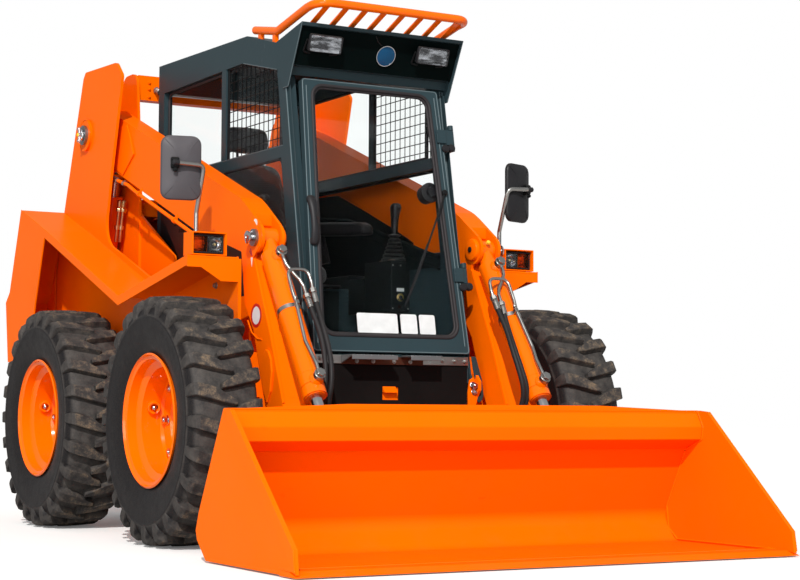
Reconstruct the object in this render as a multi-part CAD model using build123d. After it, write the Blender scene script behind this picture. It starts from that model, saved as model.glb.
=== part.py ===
from build123d import *
import os
from math import cos, hypot, radians, sin, tan

# Skid steer loader: chassis, towers and cab, with the loader arms, their four cylinders, the
# bucket, the doors, the hood and the wheels as moving pieces.
#
# Units are mm and +Z is up. While a piece is drawn, Y is measured from the front axle towards the
# rear, X from the middle towards the machine's left, and Z from the ground. Each piece is moved by
# ORIGIN_Y when it is written, so that the origin is below the middle of the machine's length.

# ---------------------------------------------------------------- driving dimensions
WHEELBASE = 1207.0
TYRE_RADIUS = 452.5
TYRE_WIDTH = 273.0
WHEEL_CENTRE_X = 776.5
RIM_FLANGE_RADIUS = 243.5
RIM_WIDTH = 239.0
BEAD_RADIUS = 228.6
SHAFT_RADIUS = 35.0
RUNNING_GAP = 0.05

ARM_CENTRE_X = 474.0
ARM_WIDTH = 92.0
PLATE = 12.0
SHEET = 6.0
ARM_INNER_GAP = 8.0
ARM_OUTER_GAP = 33.0
EYE_GAP = 3.0
PIN_END_GAP = 2.0
EAR_GAP = 6.0

TUB_HALF_WIDTH = ARM_CENTRE_X - ARM_WIDTH / 2 - ARM_INNER_GAP - PLATE
TOWER_OUTER_X = ARM_CENTRE_X + ARM_WIDTH / 2 + ARM_OUTER_GAP + PLATE
CAB_HALF_WIDTH = 350.0
FENDER_OUTER_X = 770.0
BUCKET_HALF_WIDTH = 975.0

HINGE_RADIUS = 11.0
HINGE_PIN = 6.0
HINGE_GAP = 3.0
HINGE_END = 22.0

# ---------------------------------------------------------------- places (y, z)
FRONT_AXLE = (0.0, TYRE_RADIUS)
REAR_AXLE = (WHEELBASE, TYRE_RADIUS)
ARM_PIVOT = (1562.0, 1711.0)
KNEE_PIN = (-95.0, 1125.0)
COUPLER_HINGE = (-545.0, 195.0)
TILT_PIN = (-576.0, 412.0)
LIFT_BASE = (1700.0, 600.0)
LIFT_PIN = (1430.0, 1540.0)
BUCKET_LIP_Y = -1329.0
REAR_END_Y = 2039.0
FRAME_END_Y = 1940.0
BUMPER_FACE_Y = 1952.0
HITCH_PIN = (2012.0, 450.0)
HITCH_PIN_RADIUS = 13.0
ORIGIN_Y = (BUCKET_LIP_Y + REAR_END_Y) / 2
CAB_LEAN = 10.4
CAB_FLOOR_Z = 672.0
WINDOW_SILL_Z = 1495.0
DOOR_FOOT = (-214.0, 710.0)
HOOD_HINGE = (1420.0, 1412.0)
REAR_DOOR_HINGE = (398.0, 1977.0)


# ---------------------------------------------------------------- helpers
def outline(points):
    """A flat face in the side view, from (y, z) points."""
    return make_face(Polyline(*[(0, y, z) for y, z in points], close=True))


def rounded(face, corners):
    """The same face with some corners rounded, from (y, z, radius) rows."""
    for y, z, radius in corners:
        corner = face.vertices().sort_by_distance((0, y, z))[0]
        face = fillet(corner, radius)
    return face


def thick(face, x_low, x_high):
    """A plate made of a face that is drawn in the side view."""
    return Pos(x_low, 0, 0) * extrude(face, amount=x_high - x_low, dir=(1, 0, 0))


def plate(points, x_low, x_high):
    """A plate whose outline is drawn in the side view."""
    return thick(outline(points), x_low, x_high)


def disc(place, radius, x_low, x_high):
    """A round bar across the machine, at a (y, z) place."""
    bar = Cylinder(radius, x_high - x_low, rotation=(0, 90, 0))
    return Pos((x_low + x_high) / 2, place[0], place[1]) * bar


def block(x, y, z):
    """A box from three (low, high) pairs."""
    size = [high - low for low, high in (x, y, z)]
    return Pos(*[(low + high) / 2 for low, high in (x, y, z)]) * Box(*size)


def across(points, y_low, y_high):
    """A plate that stands across the machine, from (x, z) points."""
    face = make_face(Polyline(*[(x, y_low, z) for x, z in points], close=True))
    return extrude(face, amount=y_high - y_low, dir=(0, 1, 0))


def flat(points, z_low, z_high):
    """A plate that lies flat, from (x, y) points."""
    face = make_face(Polyline(*[(x, y, z_low) for x, y in points], close=True))
    return extrude(face, amount=z_high - z_low, dir=(0, 0, 1))


def offset_line(points, wall):
    """The same line of points moved one wall to the left of its direction, with mitred corners."""
    legs = [Vector(b[0] - a[0], b[1] - a[1]).normalized() for a, b in zip(points, points[1:])]
    moved = []
    for i, (y, z) in enumerate(points):
        before = legs[max(i - 1, 0)]
        after = legs[min(i, len(legs) - 1)]
        middle = (before + after).normalized()
        reach = wall / middle.dot(after)
        moved.append((y - middle.Y * reach, z + middle.X * reach))
    return moved


def sheet(points, wall):
    """Outline of a bent sheet, one wall thick on the left of its line."""
    return points + offset_line(points, wall)[::-1]


def along(start, end, distance):
    """The point at a distance from start towards end, in the side view."""
    length = hypot(end[0] - start[0], end[1] - start[1])
    return tuple(a + (b - a) * distance / length for a, b in zip(start, end))


def rod_between(start, end, radius, x):
    """A round rod in the side view's plane, at one X, between two (y, z) places."""
    line = Vector(0, end[0] - start[0], end[1] - start[1])
    middle = (x, (start[0] + end[0]) / 2, (start[1] + end[1]) / 2)
    return Plane(origin=middle, z_dir=line.normalized()) * Cylinder(radius, line.length)


def bent_rod(points, radius, bend):
    """A round rod or tube along straight runs joined by arcs."""
    path = FilletPolyline(*points, radius=bend)
    start = Plane(origin=path @ 0, z_dir=path % 0)
    return sweep(start * Circle(radius), path=path)


def other_side(shape):
    """The same piece on the machine's right."""
    return mirror(shape, about=Plane.YZ)


def pair(shape):
    """A piece and its twin on the other side."""
    return shape + other_side(shape)


def hinge(frame, length, moving_leaf, fixed_leaf):
    """Two halves of a hinge about a frame's Z axis: the moving knuckle and the fixed pin and ends.

    Each leaf is a box in the frame, as (low, high) pairs, that ties its half to what it carries."""
    barrel = frame * Cylinder(HINGE_RADIUS, length)
    bore = frame * Cylinder(HINGE_PIN + RUNNING_GAP, 3 * length)
    relief = frame * Cylinder(HINGE_RADIUS + HINGE_GAP, length + 2 * HINGE_GAP)
    moving = barrel + frame * block(*moving_leaf) - bore
    ends = frame * Cylinder(HINGE_RADIUS, length + 2 * HINGE_END)
    fixed = ends + frame * block(*fixed_leaf) - relief
    fixed = fixed + frame * Cylinder(HINGE_PIN, length + 2 * HINGE_END)
    return moving, fixed


# ---------------------------------------------------------------- wheels
# Half sections, as (distance from the wheel's middle plane, radius).
TYRE_OUTSIDE = [(86, BEAD_RADIUS), (104, BEAD_RADIUS), (106, 238), (123, 272),
                (TYRE_WIDTH / 2, 365), (129, 418), (100, 448), (0, TYRE_RADIUS)]
TYRE_INSIDE = [(86, 245), (104, 266), (117, 345), (104, 412), (0, 430)]
RIM_LINE = [
    (RIM_WIDTH / 2, RIM_FLANGE_RADIUS), (109, 237), (106, BEAD_RADIUS), (74, 225), (62, 200),
    (-46, 200), (-62, 225), (-106, BEAD_RADIUS), (-109, 237), (-RIM_WIDTH / 2, RIM_FLANGE_RADIUS),
]
RIM_WALL = 7.0
DISC_LINE = [(-8, 193), (-20, 188), (-30, 150), (-52, 138), (-58, 60), (-40, 52), (-34, 0)]
HUB_FLANGE_RADIUS = 110.0
HUB_FACE = -58.0


def spin(points, place, side):
    """A ring or disc turned about a wheel's axis, from (offset outwards, radius) points."""
    face = make_face(Polyline(*[(offset * side, 0, radius) for offset, radius in points], close=True))
    turned = revolve(face, Axis.X, 360)
    return Pos(side * WHEEL_CENTRE_X, place[0], place[1]) * turned


def tyre(place, side):
    outside = TYRE_OUTSIDE + [(-offset, radius) for offset, radius in TYRE_OUTSIDE[-2::-1]]
    inside = TYRE_INSIDE + [(-offset, radius) for offset, radius in TYRE_INSIDE[-2::-1]]
    return spin(outside + inside[::-1], place, side)


def rim(place, side):
    barrel = spin(sheet(RIM_LINE[::-1], -RIM_WALL), place, side)
    dish = spin(DISC_LINE + [(HUB_FACE - 18, 0), (HUB_FACE - 18, HUB_FLANGE_RADIUS),
                             (HUB_FACE - 8, HUB_FLANGE_RADIUS), (-58, 140), (-38, 158), (-28, 193)],
                place, side)
    shaft_ends = sorted((side * (WHEEL_CENTRE_X + HUB_FACE - 18), side * (TOWER_OUTER_X + 10)))
    return barrel + dish + disc(place, SHAFT_RADIUS, *shaft_ends)


def axle_housings():
    """Four tubes that carry the wheels' shafts, on the chaincases."""
    tubes = []
    for place in (FRONT_AXLE, REAR_AXLE):
        tube = disc(place, 62, TOWER_OUTER_X, WHEEL_CENTRE_X + HUB_FACE - 23)
        tube = tube + disc(place, 95, TOWER_OUTER_X, TOWER_OUTER_X + 16)
        tube = tube - disc(place, SHAFT_RADIUS + RUNNING_GAP, TOWER_OUTER_X + 4, 800)
        tubes.append(pair(tube))
    return tubes[0] + tubes[1]


# ---------------------------------------------------------------- chassis
CHAINCASE_TOP = 540.0
CHAINCASE_BOTTOM = 300.0
CHAINCASE_ENDS = (-110.0, 1370.0)
BELLY_Z = 215.0
SHELF_Z = 700.0
TUB_INNER_X = TUB_HALF_WIDTH - PLATE
TUB_SIDE = [(-60, 330), (0, BELLY_Z), (FRAME_END_Y - 75, BELLY_Z), (FRAME_END_Y, 300),
            (FRAME_END_Y, 1000), (1865, 1010), (1790, 1290), (1435, 1384), (1348, 1390),
            (1296, 1336), (929, 1135), (860, 930), (-20, 930), (-60, SHELF_Z)]
TUB_CORNERS = [(1435, 1384, 30), (1348, 1390, 30)]
CAB_LUG = [(-60, 548), (-205, 548), (-226, 572), (-226, 606), (-205, 630), (-60, 652)]
REAR_HINGE_HEIGHTS = (660, 930)


def frame_sides():
    """The two side plates of the frame tub, with the hood's sill, hinge halves and cab supports."""
    side = thick(rounded(outline(TUB_SIDE), TUB_CORNERS), TUB_INNER_X, TUB_HALF_WIDTH)
    lug = plate(CAB_LUG, 370, 382) - disc((-190, 590), 11, 360, 390)
    side = side + lug + block((370, TUB_HALF_WIDTH), (-72, -60), (548, 652))
    for y in (0, 560):
        side = side + block((300, TUB_INNER_X), (y, y + 80), (640, CAB_FLOOR_Z - 0.3))
    side = side + hood_hinge()[1]
    sides = pair(side) + block((-TUB_INNER_X, TUB_INNER_X), (1348, 1400), (1340, 1398))
    for z in REAR_HINGE_HEIGHTS:
        sides = sides + rear_hinge(z)[1]
    return sides


def chaincases():
    """The closed drive housings beside the tub, with the shelves under the arms."""
    case = block((TUB_HALF_WIDTH, TOWER_OUTER_X), CHAINCASE_ENDS, (CHAINCASE_BOTTOM, CHAINCASE_TOP))
    shelf_line = [(-38, CHAINCASE_TOP), (-38, SHELF_Z + SHEET), (1150, SHELF_Z + SHEET)]
    shelf = plate(sheet(shelf_line, -SHEET), TUB_HALF_WIDTH, TOWER_OUTER_X - PLATE)
    return pair(case + shelf)


def belly_pan():
    """The bent floor of the tub, with the two cross members that carry the engine."""
    line = [(-60, 640), (-60, 330), (0, BELLY_Z), (FRAME_END_Y - 75, BELLY_Z), (FRAME_END_Y, 300),
            (FRAME_END_Y, 560)]
    pan = plate(sheet(line, 10), -TUB_INNER_X, TUB_INNER_X)
    for y in (1280, 1700):
        pan = pan + block((-TUB_INNER_X, TUB_INNER_X), (y, y + 60), (420, 480))
    return pan


def rear_bumper():
    """The bumper plate with a clevis that has an upright pin hole."""
    bumper = block((-TOWER_OUTER_X, TOWER_OUTER_X), (FRAME_END_Y, BUMPER_FACE_Y), (330, 560))
    pad = block((-60, 60), (BUMPER_FACE_Y, BUMPER_FACE_Y + 12), (370, 530))
    ear_line = [(-60, BUMPER_FACE_Y + 8), (60, BUMPER_FACE_Y + 8), (60, HITCH_PIN[0]),
                (35, REAR_END_Y), (-35, REAR_END_Y), (-60, HITCH_PIN[0])]
    hitch = pad + flat(ear_line, 400, 416) + flat(ear_line, 484, 500)
    return bumper + hitch - Pos(0, HITCH_PIN[0], 450) * Cylinder(HITCH_PIN_RADIUS, 140)


def engine_block():
    return block((-280, 280), (1260, 1800), (480, 1180))


LOUVRE_LINE = [(1140, 1368), (905, 1125), (880, 936), (640, 936), (640, 1180), (1000, 1368)]
LOUVRE_HEIGHTS = range(1040, 1290, 32)


def side_louvres():
    """Black louvred panels beside the hydraulic bay, inside the frame's side plates."""
    panel = plate(LOUVRE_LINE, TUB_INNER_X - 6.3, TUB_INNER_X - 0.3)
    for z in LOUVRE_HEIGHTS:
        front = max(680, 680 + (z - 1180) * 1.5)
        rear = front + 150
        slot = plate([(front, z), (rear, z), (rear, z + 12), (front, z + 12)], 380, TUB_INNER_X)
        blade = plate([(front, z + 4), (rear, z + 4), (rear, z + 8), (front, z + 8)],
                      TUB_INNER_X - 6.3, TUB_INNER_X - 0.3)
        panel = panel - slot + blade
    return pair(panel)


# ---------------------------------------------------------------- towers and fenders
TOWER_OUTLINE = [(1590, 2000), (1216, 1985), (1147, 1920), (1258, 1523), (1330, 1222), (828, 1038),
                 (634, 931), (-44, 1048), (-44, CHAINCASE_TOP), (1370, CHAINCASE_TOP), (1370, 420),
                 (FRAME_END_Y, 420), (FRAME_END_Y, 1124), (1843, 1383), (1617, 1974)]
TOWER_CORNERS = [(1590, 2000, 18), (1216, 1985, 40), (1147, 1920, 20), (1258, 1523, 150),
                 (1330, 1222, 120)]
TOWER_INNER = [(1466, 1975), (1340, 1975), (1290, 1500), (1290, CHAINCASE_TOP),
               (FRAME_END_Y, CHAINCASE_TOP), (FRAME_END_Y, 1110), (1843, 1375), (1660, 1840)]
TOWER_INNER_CORNERS = [(1466, 1975, 60), (1340, 1975, 60)]
TOWER_BACK = [(1617, 1974), (1843, 1383), (FRAME_END_Y, 1124)]
PIVOT_PIN_RADIUS = 30.0
CYLINDER_PIN_RADIUS = 20.0


def tower():
    """One rear tower: outer and inner plates with a back plate between them."""
    outer = thick(rounded(outline(TOWER_OUTLINE), TOWER_CORNERS), TOWER_OUTER_X - PLATE, TOWER_OUTER_X)
    inner = thick(rounded(outline(TOWER_INNER), TOWER_INNER_CORNERS), TUB_HALF_WIDTH,
                  TUB_HALF_WIDTH + PLATE)
    back = plate(sheet(TOWER_BACK, -10), TUB_HALF_WIDTH + PLATE, TOWER_OUTER_X - PLATE)
    body = outer + inner + back + disc(ARM_PIVOT, 70, TOWER_OUTER_X, TOWER_OUTER_X + 10)
    body = body - disc(ARM_PIVOT, PIVOT_PIN_RADIUS + RUNNING_GAP, 300, 700)
    return body - disc(LIFT_BASE, CYLINDER_PIN_RADIUS + RUNNING_GAP, 300, 700)


def tower_pins():
    """The arm pivot pins and the lift cylinders' base pins, with their heads."""
    pins = []
    for place, radius, head in ((ARM_PIVOT, PIVOT_PIN_RADIUS, TOWER_OUTER_X + 10),
                                (LIFT_BASE, CYLINDER_PIN_RADIUS, TOWER_OUTER_X)):
        pin = disc(place, radius, TUB_HALF_WIDTH, head + 12)
        pin = pin + disc(place, radius + 14, head, head + 12)
        pins.append(pair(pin))
    return pins[0] + pins[1]


def tower_cross_beam():
    edge = TUB_HALF_WIDTH
    return block((-edge, edge), (1345, 1405), (1856, 1966))


FENDER_LINE = [(-44, 1054), (634, 937), (1513, 1271), (1843, 1389)]
FENDER_LIP = 36.0


def fender():
    inside = TOWER_OUTER_X
    top = plate(sheet(FENDER_LINE, -SHEET), inside, FENDER_OUTER_X)
    lip_low = [(y, z - FENDER_LIP) for y, z in FENDER_LINE]
    lip = plate(FENDER_LINE + lip_low[::-1], FENDER_OUTER_X - SHEET, FENDER_OUTER_X)
    front = across([(inside, 963), (634, 963), (715, 1012), (FENDER_OUTER_X, 1012),
                    (FENDER_OUTER_X, 1050), (inside, 1050)], -44, -44 + SHEET)
    arch = [(WHEELBASE + 428, 944), (WHEELBASE + 493, 701)]
    corner = [(1513, 1271), *arch, (1995, 701), (REAR_END_Y, 976), (1986, 1022), (1843, 1389)]
    side = plate(corner, FENDER_OUTER_X - SHEET, FENDER_OUTER_X)
    rear_line = [(1843, 1389), (1986, 1022), (REAR_END_Y, 976), (1995, 701)]
    rear = plate(sheet(rear_line, -SHEET), inside, FENDER_OUTER_X)
    return top + lip + front + side + rear


# ---------------------------------------------------------------- hood and rear door
HOOD_LINE = [(HOOD_HINGE[0], 1400), (1830, 1372), (1936, 1034)]
HOOD_EDGE = [(1428, 1394), (1824, 1367), (1926, 1040), (1908, 1034), (1804, 1346), (1428, 1370)]


def engine_hood():
    edge = TUB_INNER_X - 14
    shell = plate(sheet(HOOD_LINE, -SHEET), -edge, edge)
    for x in range(-240, 241, 80):
        shell = shell - block((x - 6, x + 6), (1500, 1760), (1300, 1500))
    flange = plate(HOOD_EDGE, edge - SHEET, edge)
    return shell + pair(flange + hood_hinge()[0])


def hood_hinge():
    """The left half of the hood's hinge, across the machine."""
    frame = Plane(origin=(300, *HOOD_HINGE), x_dir=(0, 1, 0), z_dir=(1, 0, 0))
    moving = ((0, 40), (-22, -6), (-30, 30))
    fixed = ((-42, -6), (-28, 0), (-52, 52))
    return hinge(frame, 60, moving, fixed)


def rear_hinge(z):
    """One hinge of the rear door, upright at the machine's left."""
    frame = Plane(origin=(*REAR_DOOR_HINGE, z), x_dir=(1, 0, 0), z_dir=(0, 0, 1))
    moving = ((-30, 0), (-HINGE_RADIUS - 1, 0), (-30, 30))
    fixed = ((0, 60), (FRAME_END_Y - REAR_DOOR_HINGE[1], -4), (-52, 52))
    return hinge(frame, 60, moving, fixed)


def rear_door():
    """The louvred door over the radiator, with its knuckles."""
    edge = REAR_DOOR_HINGE[0]
    face = REAR_DOOR_HINGE[1]
    door = block((-edge, edge - 16), (face - 25, face), (580, 1015))
    door = door - block((-edge + 70, edge - 90), (face - 30, face + 5), (650, 950))
    for z in range(664, 940, 33):
        blade = [(face - 22, z), (face - 18, z), (face - 4, z + 14), (face - 8, z + 14)]
        door = door + plate(blade, -edge + 70, edge - 90)
    for z in REAR_HINGE_HEIGHTS:
        door = door + rear_hinge(z)[0]
    return door


# ---------------------------------------------------------------- cab
VISOR_FACE = [(-43, 1793), (-112, 1929)]
ROOF_SIDE = [(-132, 1941), (91, 1898), (356, 1971), (1250, 1993), (1250, 1866), (389, 1868), (82, 1795),
             (82, 1762), (-6, 1762), (-12, 1793), *VISOR_FACE, (-126, 1929)]
VISOR_CHEEK = [(-132, 1941), (-16, 1713), (24, 1713), (60, 1762), (91, 1898)]
PILLAR_SETBACK = 38.0
CAB_WALL = 6.0
CAB_TOP_Z = 1762.0


def pillar_y(z):
    """Where the front pillars' face stands, behind the leaning door and its gap."""
    return DOOR_FOOT[0] + (z - DOOR_FOOT[1]) * tan(radians(CAB_LEAN)) + PILLAR_SETBACK


RAIL_HEIGHT = 45.0
LOWER_OPENING = [(-15, 1110), (1090, 1110), (1195, 1285), (1195, WINDOW_SILL_Z - RAIL_HEIGHT),
                 (42, WINDOW_SILL_Z - RAIL_HEIGHT)]
WINDOW_POST = (548.0, 590.0)


def cab_side():
    """The cab's left wall: lower panel with its window, rail, post, pillars and the front foot."""
    low = CAB_FLOOR_Z
    high = CAB_TOP_Z
    inner = CAB_HALF_WIDTH - CAB_WALL
    wall = plate([(pillar_y(low), low), (1000, low), (1100, 1000), (1250, 1250),
                  (1250, WINDOW_SILL_Z), (pillar_y(WINDOW_SILL_Z), WINDOW_SILL_Z)], inner, CAB_HALF_WIDTH)
    wall = wall - plate(LOWER_OPENING, inner - 5, CAB_HALF_WIDTH + 5)
    rail_z = (WINDOW_SILL_Z - RAIL_HEIGHT, WINDOW_SILL_Z)
    rail = block((CAB_HALF_WIDTH - 40, CAB_HALF_WIDTH), (0, 1250), rail_z)
    post = block((CAB_HALF_WIDTH - 12, CAB_HALF_WIDTH), WINDOW_POST, (WINDOW_SILL_Z, 1867.2))
    front_pillar = plate([(pillar_y(low), low), (pillar_y(low) + 62, low), (pillar_y(high) + 62, high),
                          (pillar_y(high), high)], CAB_HALF_WIDTH - 42, CAB_HALF_WIDTH)
    rear_pillar = block((CAB_HALF_WIDTH - 40, CAB_HALF_WIDTH), (1190, 1250), (WINDOW_SILL_Z - 40, 1865.7))
    foot = plate([(pillar_y(760), 760), (pillar_y(low) - 8, 640), (-212, 590), (-196, 566), (-172, 566),
                  (-150, 600), (-120, 760)], CAB_HALF_WIDTH, CAB_HALF_WIDTH + 8)
    return wall + rail + post + front_pillar + rear_pillar + foot


def cab_frame():
    inner = CAB_HALF_WIDTH - CAB_WALL
    cab = pair(cab_side())
    for height in DOOR_HINGE_HEIGHTS:
        cab = cab + door_hinge(height)[1]
    floor = block((-inner, inner), (-190, 620), (672, 680))
    riser = block((-inner, inner), (612, 620), (672, 1000))
    shelf = block((-inner, inner), (612, 1100), (992, 1000))
    rear_sill = block((-CAB_HALF_WIDTH + 40, CAB_HALF_WIDTH - 40), (1210, 1250), (1390, WINDOW_SILL_Z))
    back = plate(sheet([(1092, 992), (1244, 1250), (1244, 1400)], 6), -inner, inner)
    front_sill = block((-CAB_HALF_WIDTH + 12, CAB_HALF_WIDTH - 12), (-201.7, -140), (600, 700))
    return cab + floor + riser + shelf + rear_sill + back + front_sill


def cab_roof():
    """The roof with its sloped visor and its cheeks, hollow from below."""
    shell = plate(ROOF_SIDE, -CAB_HALF_WIDTH, CAB_HALF_WIDTH)
    hollow = plate([(20, 1770), (110, 1860), (356, 1955), (1190, 1975), (1190, 1850)],
                   -CAB_HALF_WIDTH + 40, CAB_HALF_WIDTH - 40)
    return shell - hollow + pair(plate(VISOR_CHEEK, CAB_HALF_WIDTH, CAB_HALF_WIDTH + 5))


def roof_top(y):
    """Height of the roof's rising part behind the visor."""
    (y0, z0), (y1, z1) = ROOF_SIDE[1:3]
    return z0 + (z1 - z0) * (y - y0) / (y1 - y0)


GUARD_X = 330.0
GUARD_TUBE = 16.0
GUARD_BAR = (-215.0, 2003.0)
GUARD_SLATS = 8
SLAT_PITCH = 81.5
SLAT_WIDTH = 22.0
SLAT_FOOT = (0.0, 1917.0)


def roof_guard():
    """The tube hoop on the roof with the slats between its front bar and the roof."""
    x = GUARD_X
    half = [(x, 320, 1990), (x, 124, 1952), (x, -124, 1997), (x, *GUARD_BAR)]
    guard = bent_rod(half + [(-x, y, z) for x, y, z in half[::-1]], GUARD_TUBE, 60)
    for y, tube_z in ((141, 1955), (268, 1980)):
        foot = [(y - 12, roof_top(y - 12) + 0.3), (y + 12, roof_top(y + 12) + 0.3), (y + 12, tube_z),
                (y - 12, tube_z)]
        guard = guard + pair(plate(foot, x - 8, x + 8))
    slat_line = sheet([SLAT_FOOT, (GUARD_BAR[0] + 4, GUARD_BAR[1] - 8)], -SHEET)
    for i in range(GUARD_SLATS):
        middle = (i - (GUARD_SLATS - 1) / 2) * SLAT_PITCH
        guard = guard + plate(slat_line, middle - SLAT_WIDTH / 2, middle + SLAT_WIDTH / 2)
    return guard


GUARD_OUTLINE = [(545, WINDOW_SILL_Z + 0.3), (545, 1866), (389, 1866), (95, 1796), (44, WINDOW_SILL_Z + 0.3)]


def side_guards():
    """Frames of the mesh guards in the front half of each side opening."""
    x = (CAB_HALF_WIDTH - 14, CAB_HALF_WIDTH - 6)
    frame = thick(outline(GUARD_OUTLINE), *x)
    inside = thick(offset(outline(GUARD_OUTLINE), -12), x[0] - 1, x[1] + 1)
    wires = []
    for y in range(100, 540, 44):
        wires.append(block((x[0] + 2, x[1] - 2), (y, y + 4), (WINDOW_SILL_Z + 4, 1900)))
    wires = sum(wires[1:], wires[0]) & frame
    return pair(frame - inside + wires)


PANE_X = (CAB_HALF_WIDTH - 30, CAB_HALF_WIDTH - 25)
UPPER_PANE = [(92, WINDOW_SILL_Z + 0.3), (1188, WINDOW_SILL_Z + 0.3), (1188, 1865), (389, 1865), (92, 1795)]


def cab_windows():
    """The rear pane, and an upper and a lower pane on each side."""
    lower = thick(offset(outline(LOWER_OPENING), -0.3), CAB_HALF_WIDTH - 5.5, CAB_HALF_WIDTH - 0.5)
    panes = plate(UPPER_PANE, *PANE_X) + lower
    rear = block((-CAB_HALF_WIDTH + 42, CAB_HALF_WIDTH - 42), (1228, 1233), (WINDOW_SILL_Z, 1864))
    return pair(panes) + rear


# ---------------------------------------------------------------- cab door
DOOR_HINGE_HEIGHTS = (310, 870)
DOOR_HINGE_X = 352.0
DOOR_HINGE_OFFSET = -8.0
DOOR_PLANE = Plane(origin=(0, DOOR_FOOT[0], DOOR_FOOT[1]), x_dir=(1, 0, 0),
                   z_dir=(0, -cos(radians(CAB_LEAN)), sin(radians(CAB_LEAN))))
DOOR_HEIGHT = 1058.0
DOOR_BOTTOM_HALF = 338.0
DOOR_TOP_HALF = 300.0
DOOR_THICK = 28.0
DOOR_FRAME = 42.0
HANDLE_X = -304.0
HANDLE_REACH = 34.0
HANDLE_HEIGHTS = (430.0, 562.0)


def door_outline(inset, corner):
    """The door's outline, tapered towards the top, drawn in from its edge."""
    bottom = DOOR_BOTTOM_HALF - inset
    top = DOOR_TOP_HALF - inset
    corners = [(-bottom, inset), (bottom, inset), (top, DOOR_HEIGHT - inset), (-top, DOOR_HEIGHT - inset)]
    face = make_face(Polyline(*corners, close=True))
    return fillet(face.vertices(), corner)


def cab_door():
    opening = Pos(0, 20) * door_outline(DOOR_FRAME, 50)
    frame = extrude(DOOR_PLANE * (door_outline(0, 12) - opening), amount=-DOOR_THICK)
    for height in DOOR_HINGE_HEIGHTS:
        frame = frame + door_hinge(height)[0]
    return frame


def door_hinge(height):
    """One hinge of the cab door, along the leaning left pillar."""
    frame = Plane(origin=(DOOR_PLANE * Pos(DOOR_HINGE_X, height, DOOR_HINGE_OFFSET)).position,
                  x_dir=(1, 0, 0), z_dir=DOOR_PLANE.y_dir)
    edge = DOOR_TOP_HALF + (DOOR_BOTTOM_HALF - DOOR_TOP_HALF) * (1 - height / DOOR_HEIGHT)
    moving = ((edge - 12 - DOOR_HINGE_X, 0), (-HINGE_RADIUS, -HINGE_RADIUS + 6), (-30, 30))
    fixed = ((-8, 4), (0, 70), (-52, 52))
    return hinge(frame, 60, moving, fixed)


def door_glass():
    return extrude(DOOR_PLANE * Pos(0, 20, -18) * door_outline(DOOR_FRAME + 0.3, 50), amount=6)


def door_handle():
    """The upright grab handle with its two feet on the door's frame."""
    low, high = HANDLE_HEIGHTS
    route = [(low, 0.3), (low, HANDLE_REACH), (high, HANDLE_REACH), (high, 0.3)]
    grip = bent_rod([(HANDLE_X, *place) for place in route], 8, 18)
    feet = Pos(HANDLE_X, low, 3.3) * Cylinder(14, 6) + Pos(HANDLE_X, high, 3.3) * Cylinder(14, 6)
    return DOOR_PLANE * (grip + feet)


# ---------------------------------------------------------------- operator's place
def seat():
    cushion = block((-210, 210), (560, 1010), (1000.3, 1120))
    back = plate([(960, 1120.3), (1060, 1120.3), (1130, 1600), (1040, 1600)], -200, 200)
    head = plate([(1050, 1600.3), (1120, 1600.3), (1130, 1740), (1064, 1740)], -120, 120)
    return cushion + back + head


CONSOLE_X = (218.0, 343.7)
LEVER = (298.0, 300.0)


def controls():
    """A console on each side of the seat with a control lever and its bellows."""
    console = block(CONSOLE_X, (250, 611.7), (893, 1100)) + block(CONSOLE_X, (600, 900), (1000.3, 1100))
    bellows = Cone(44, 16, 90)
    stem = Cylinder(9, 150)
    grip = Cone(17, 24, 80) + Pos(0, 0, 40) * Sphere(24)
    lever = Pos(0, 0, 45) * bellows + Pos(0, 0, 120) * stem + Pos(0, 0, 190) * grip
    return pair(console + Pos(*LEVER, 1100) * lever)


def front_step():
    """The bolted strip below the door, its rubber mat and the two halves of the step."""
    strip = block((-330, 330), (-214, -208), (666, 698))
    mat = block((-330, 330), (-208, -202), (420, 690)) - block((-44, 25), (-220, -190), (533, 581))
    left_tread = flat([(26, -300), (157, -300), (209, -214), (26, -214)], 692, 697)
    right_tread = flat([(-224, -300), (-31, -300), (-31, -214), (-224, -214)], 692, 697)
    left_lip = block((26, 157), (-300, -295), (678, 694))
    right_lip = block((-224, -31), (-300, -295), (678, 694))
    gusset = plate([(-300, 694), (-214, 694), (-214, 668)], -224, -219)
    return strip + mat + left_tread + right_tread + left_lip + right_lip + gusset


# ---------------------------------------------------------------- lamps and mirrors
def fender_top(y):
    """Height of the fender's top at the front, where lamps and mirrors stand on it."""
    (y0, z0), (y1, z1) = FENDER_LINE[:2]
    return z0 + (z1 - z0) * (y - y0) / (y1 - y0)


LAMP_BOX_X = (612.0, 750.0)


def turn_lamps():
    """Lamp boxes on the fenders' front corners, open to the front round their lamps."""
    shell = block(LAMP_BOX_X, (-44, 40), (1056, 1142))
    low, high = LAMP_BOX_X
    shell = shell - block((low + 5, high - 5), (-60, 30), (1061, 1137))
    unit = block((low + 8, high - 8), (-30, 30), (1064, 1134))
    foot_line = [(-20, fender_top(-20) + 0.3), (20, fender_top(20) + 0.3), (20, 1060), (-20, 1060)]
    foot = plate(foot_line, 640, 730)
    return pair(shell + unit + foot)


VISOR_LOW, VISOR_HIGH = VISOR_FACE


def visor_y(z):
    """Where the visor's sloped face stands at a height."""
    share = (z - VISOR_LOW[1]) / (VISOR_HIGH[1] - VISOR_LOW[1])
    return VISOR_LOW[0] + (VISOR_HIGH[0] - VISOR_LOW[0]) * share


def work_lamps():
    """Two lamps on the visor's face."""
    low, high = 1853.0, 1918.0
    line = [(visor_y(low) - 0.3, low), (visor_y(high) - 0.3, high), (visor_y(high) - 26, high - 4),
            (visor_y(low) - 36, low + 3)]
    lamps = plate(line, -319, -178) + plate(line, 153, 294)
    return lamps


MIRROR_X = 750.0
MIRROR_TURNS = (20.5, 13.0)
MIRROR_HEAD = (152.0, 32.0, 240.0)


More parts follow.
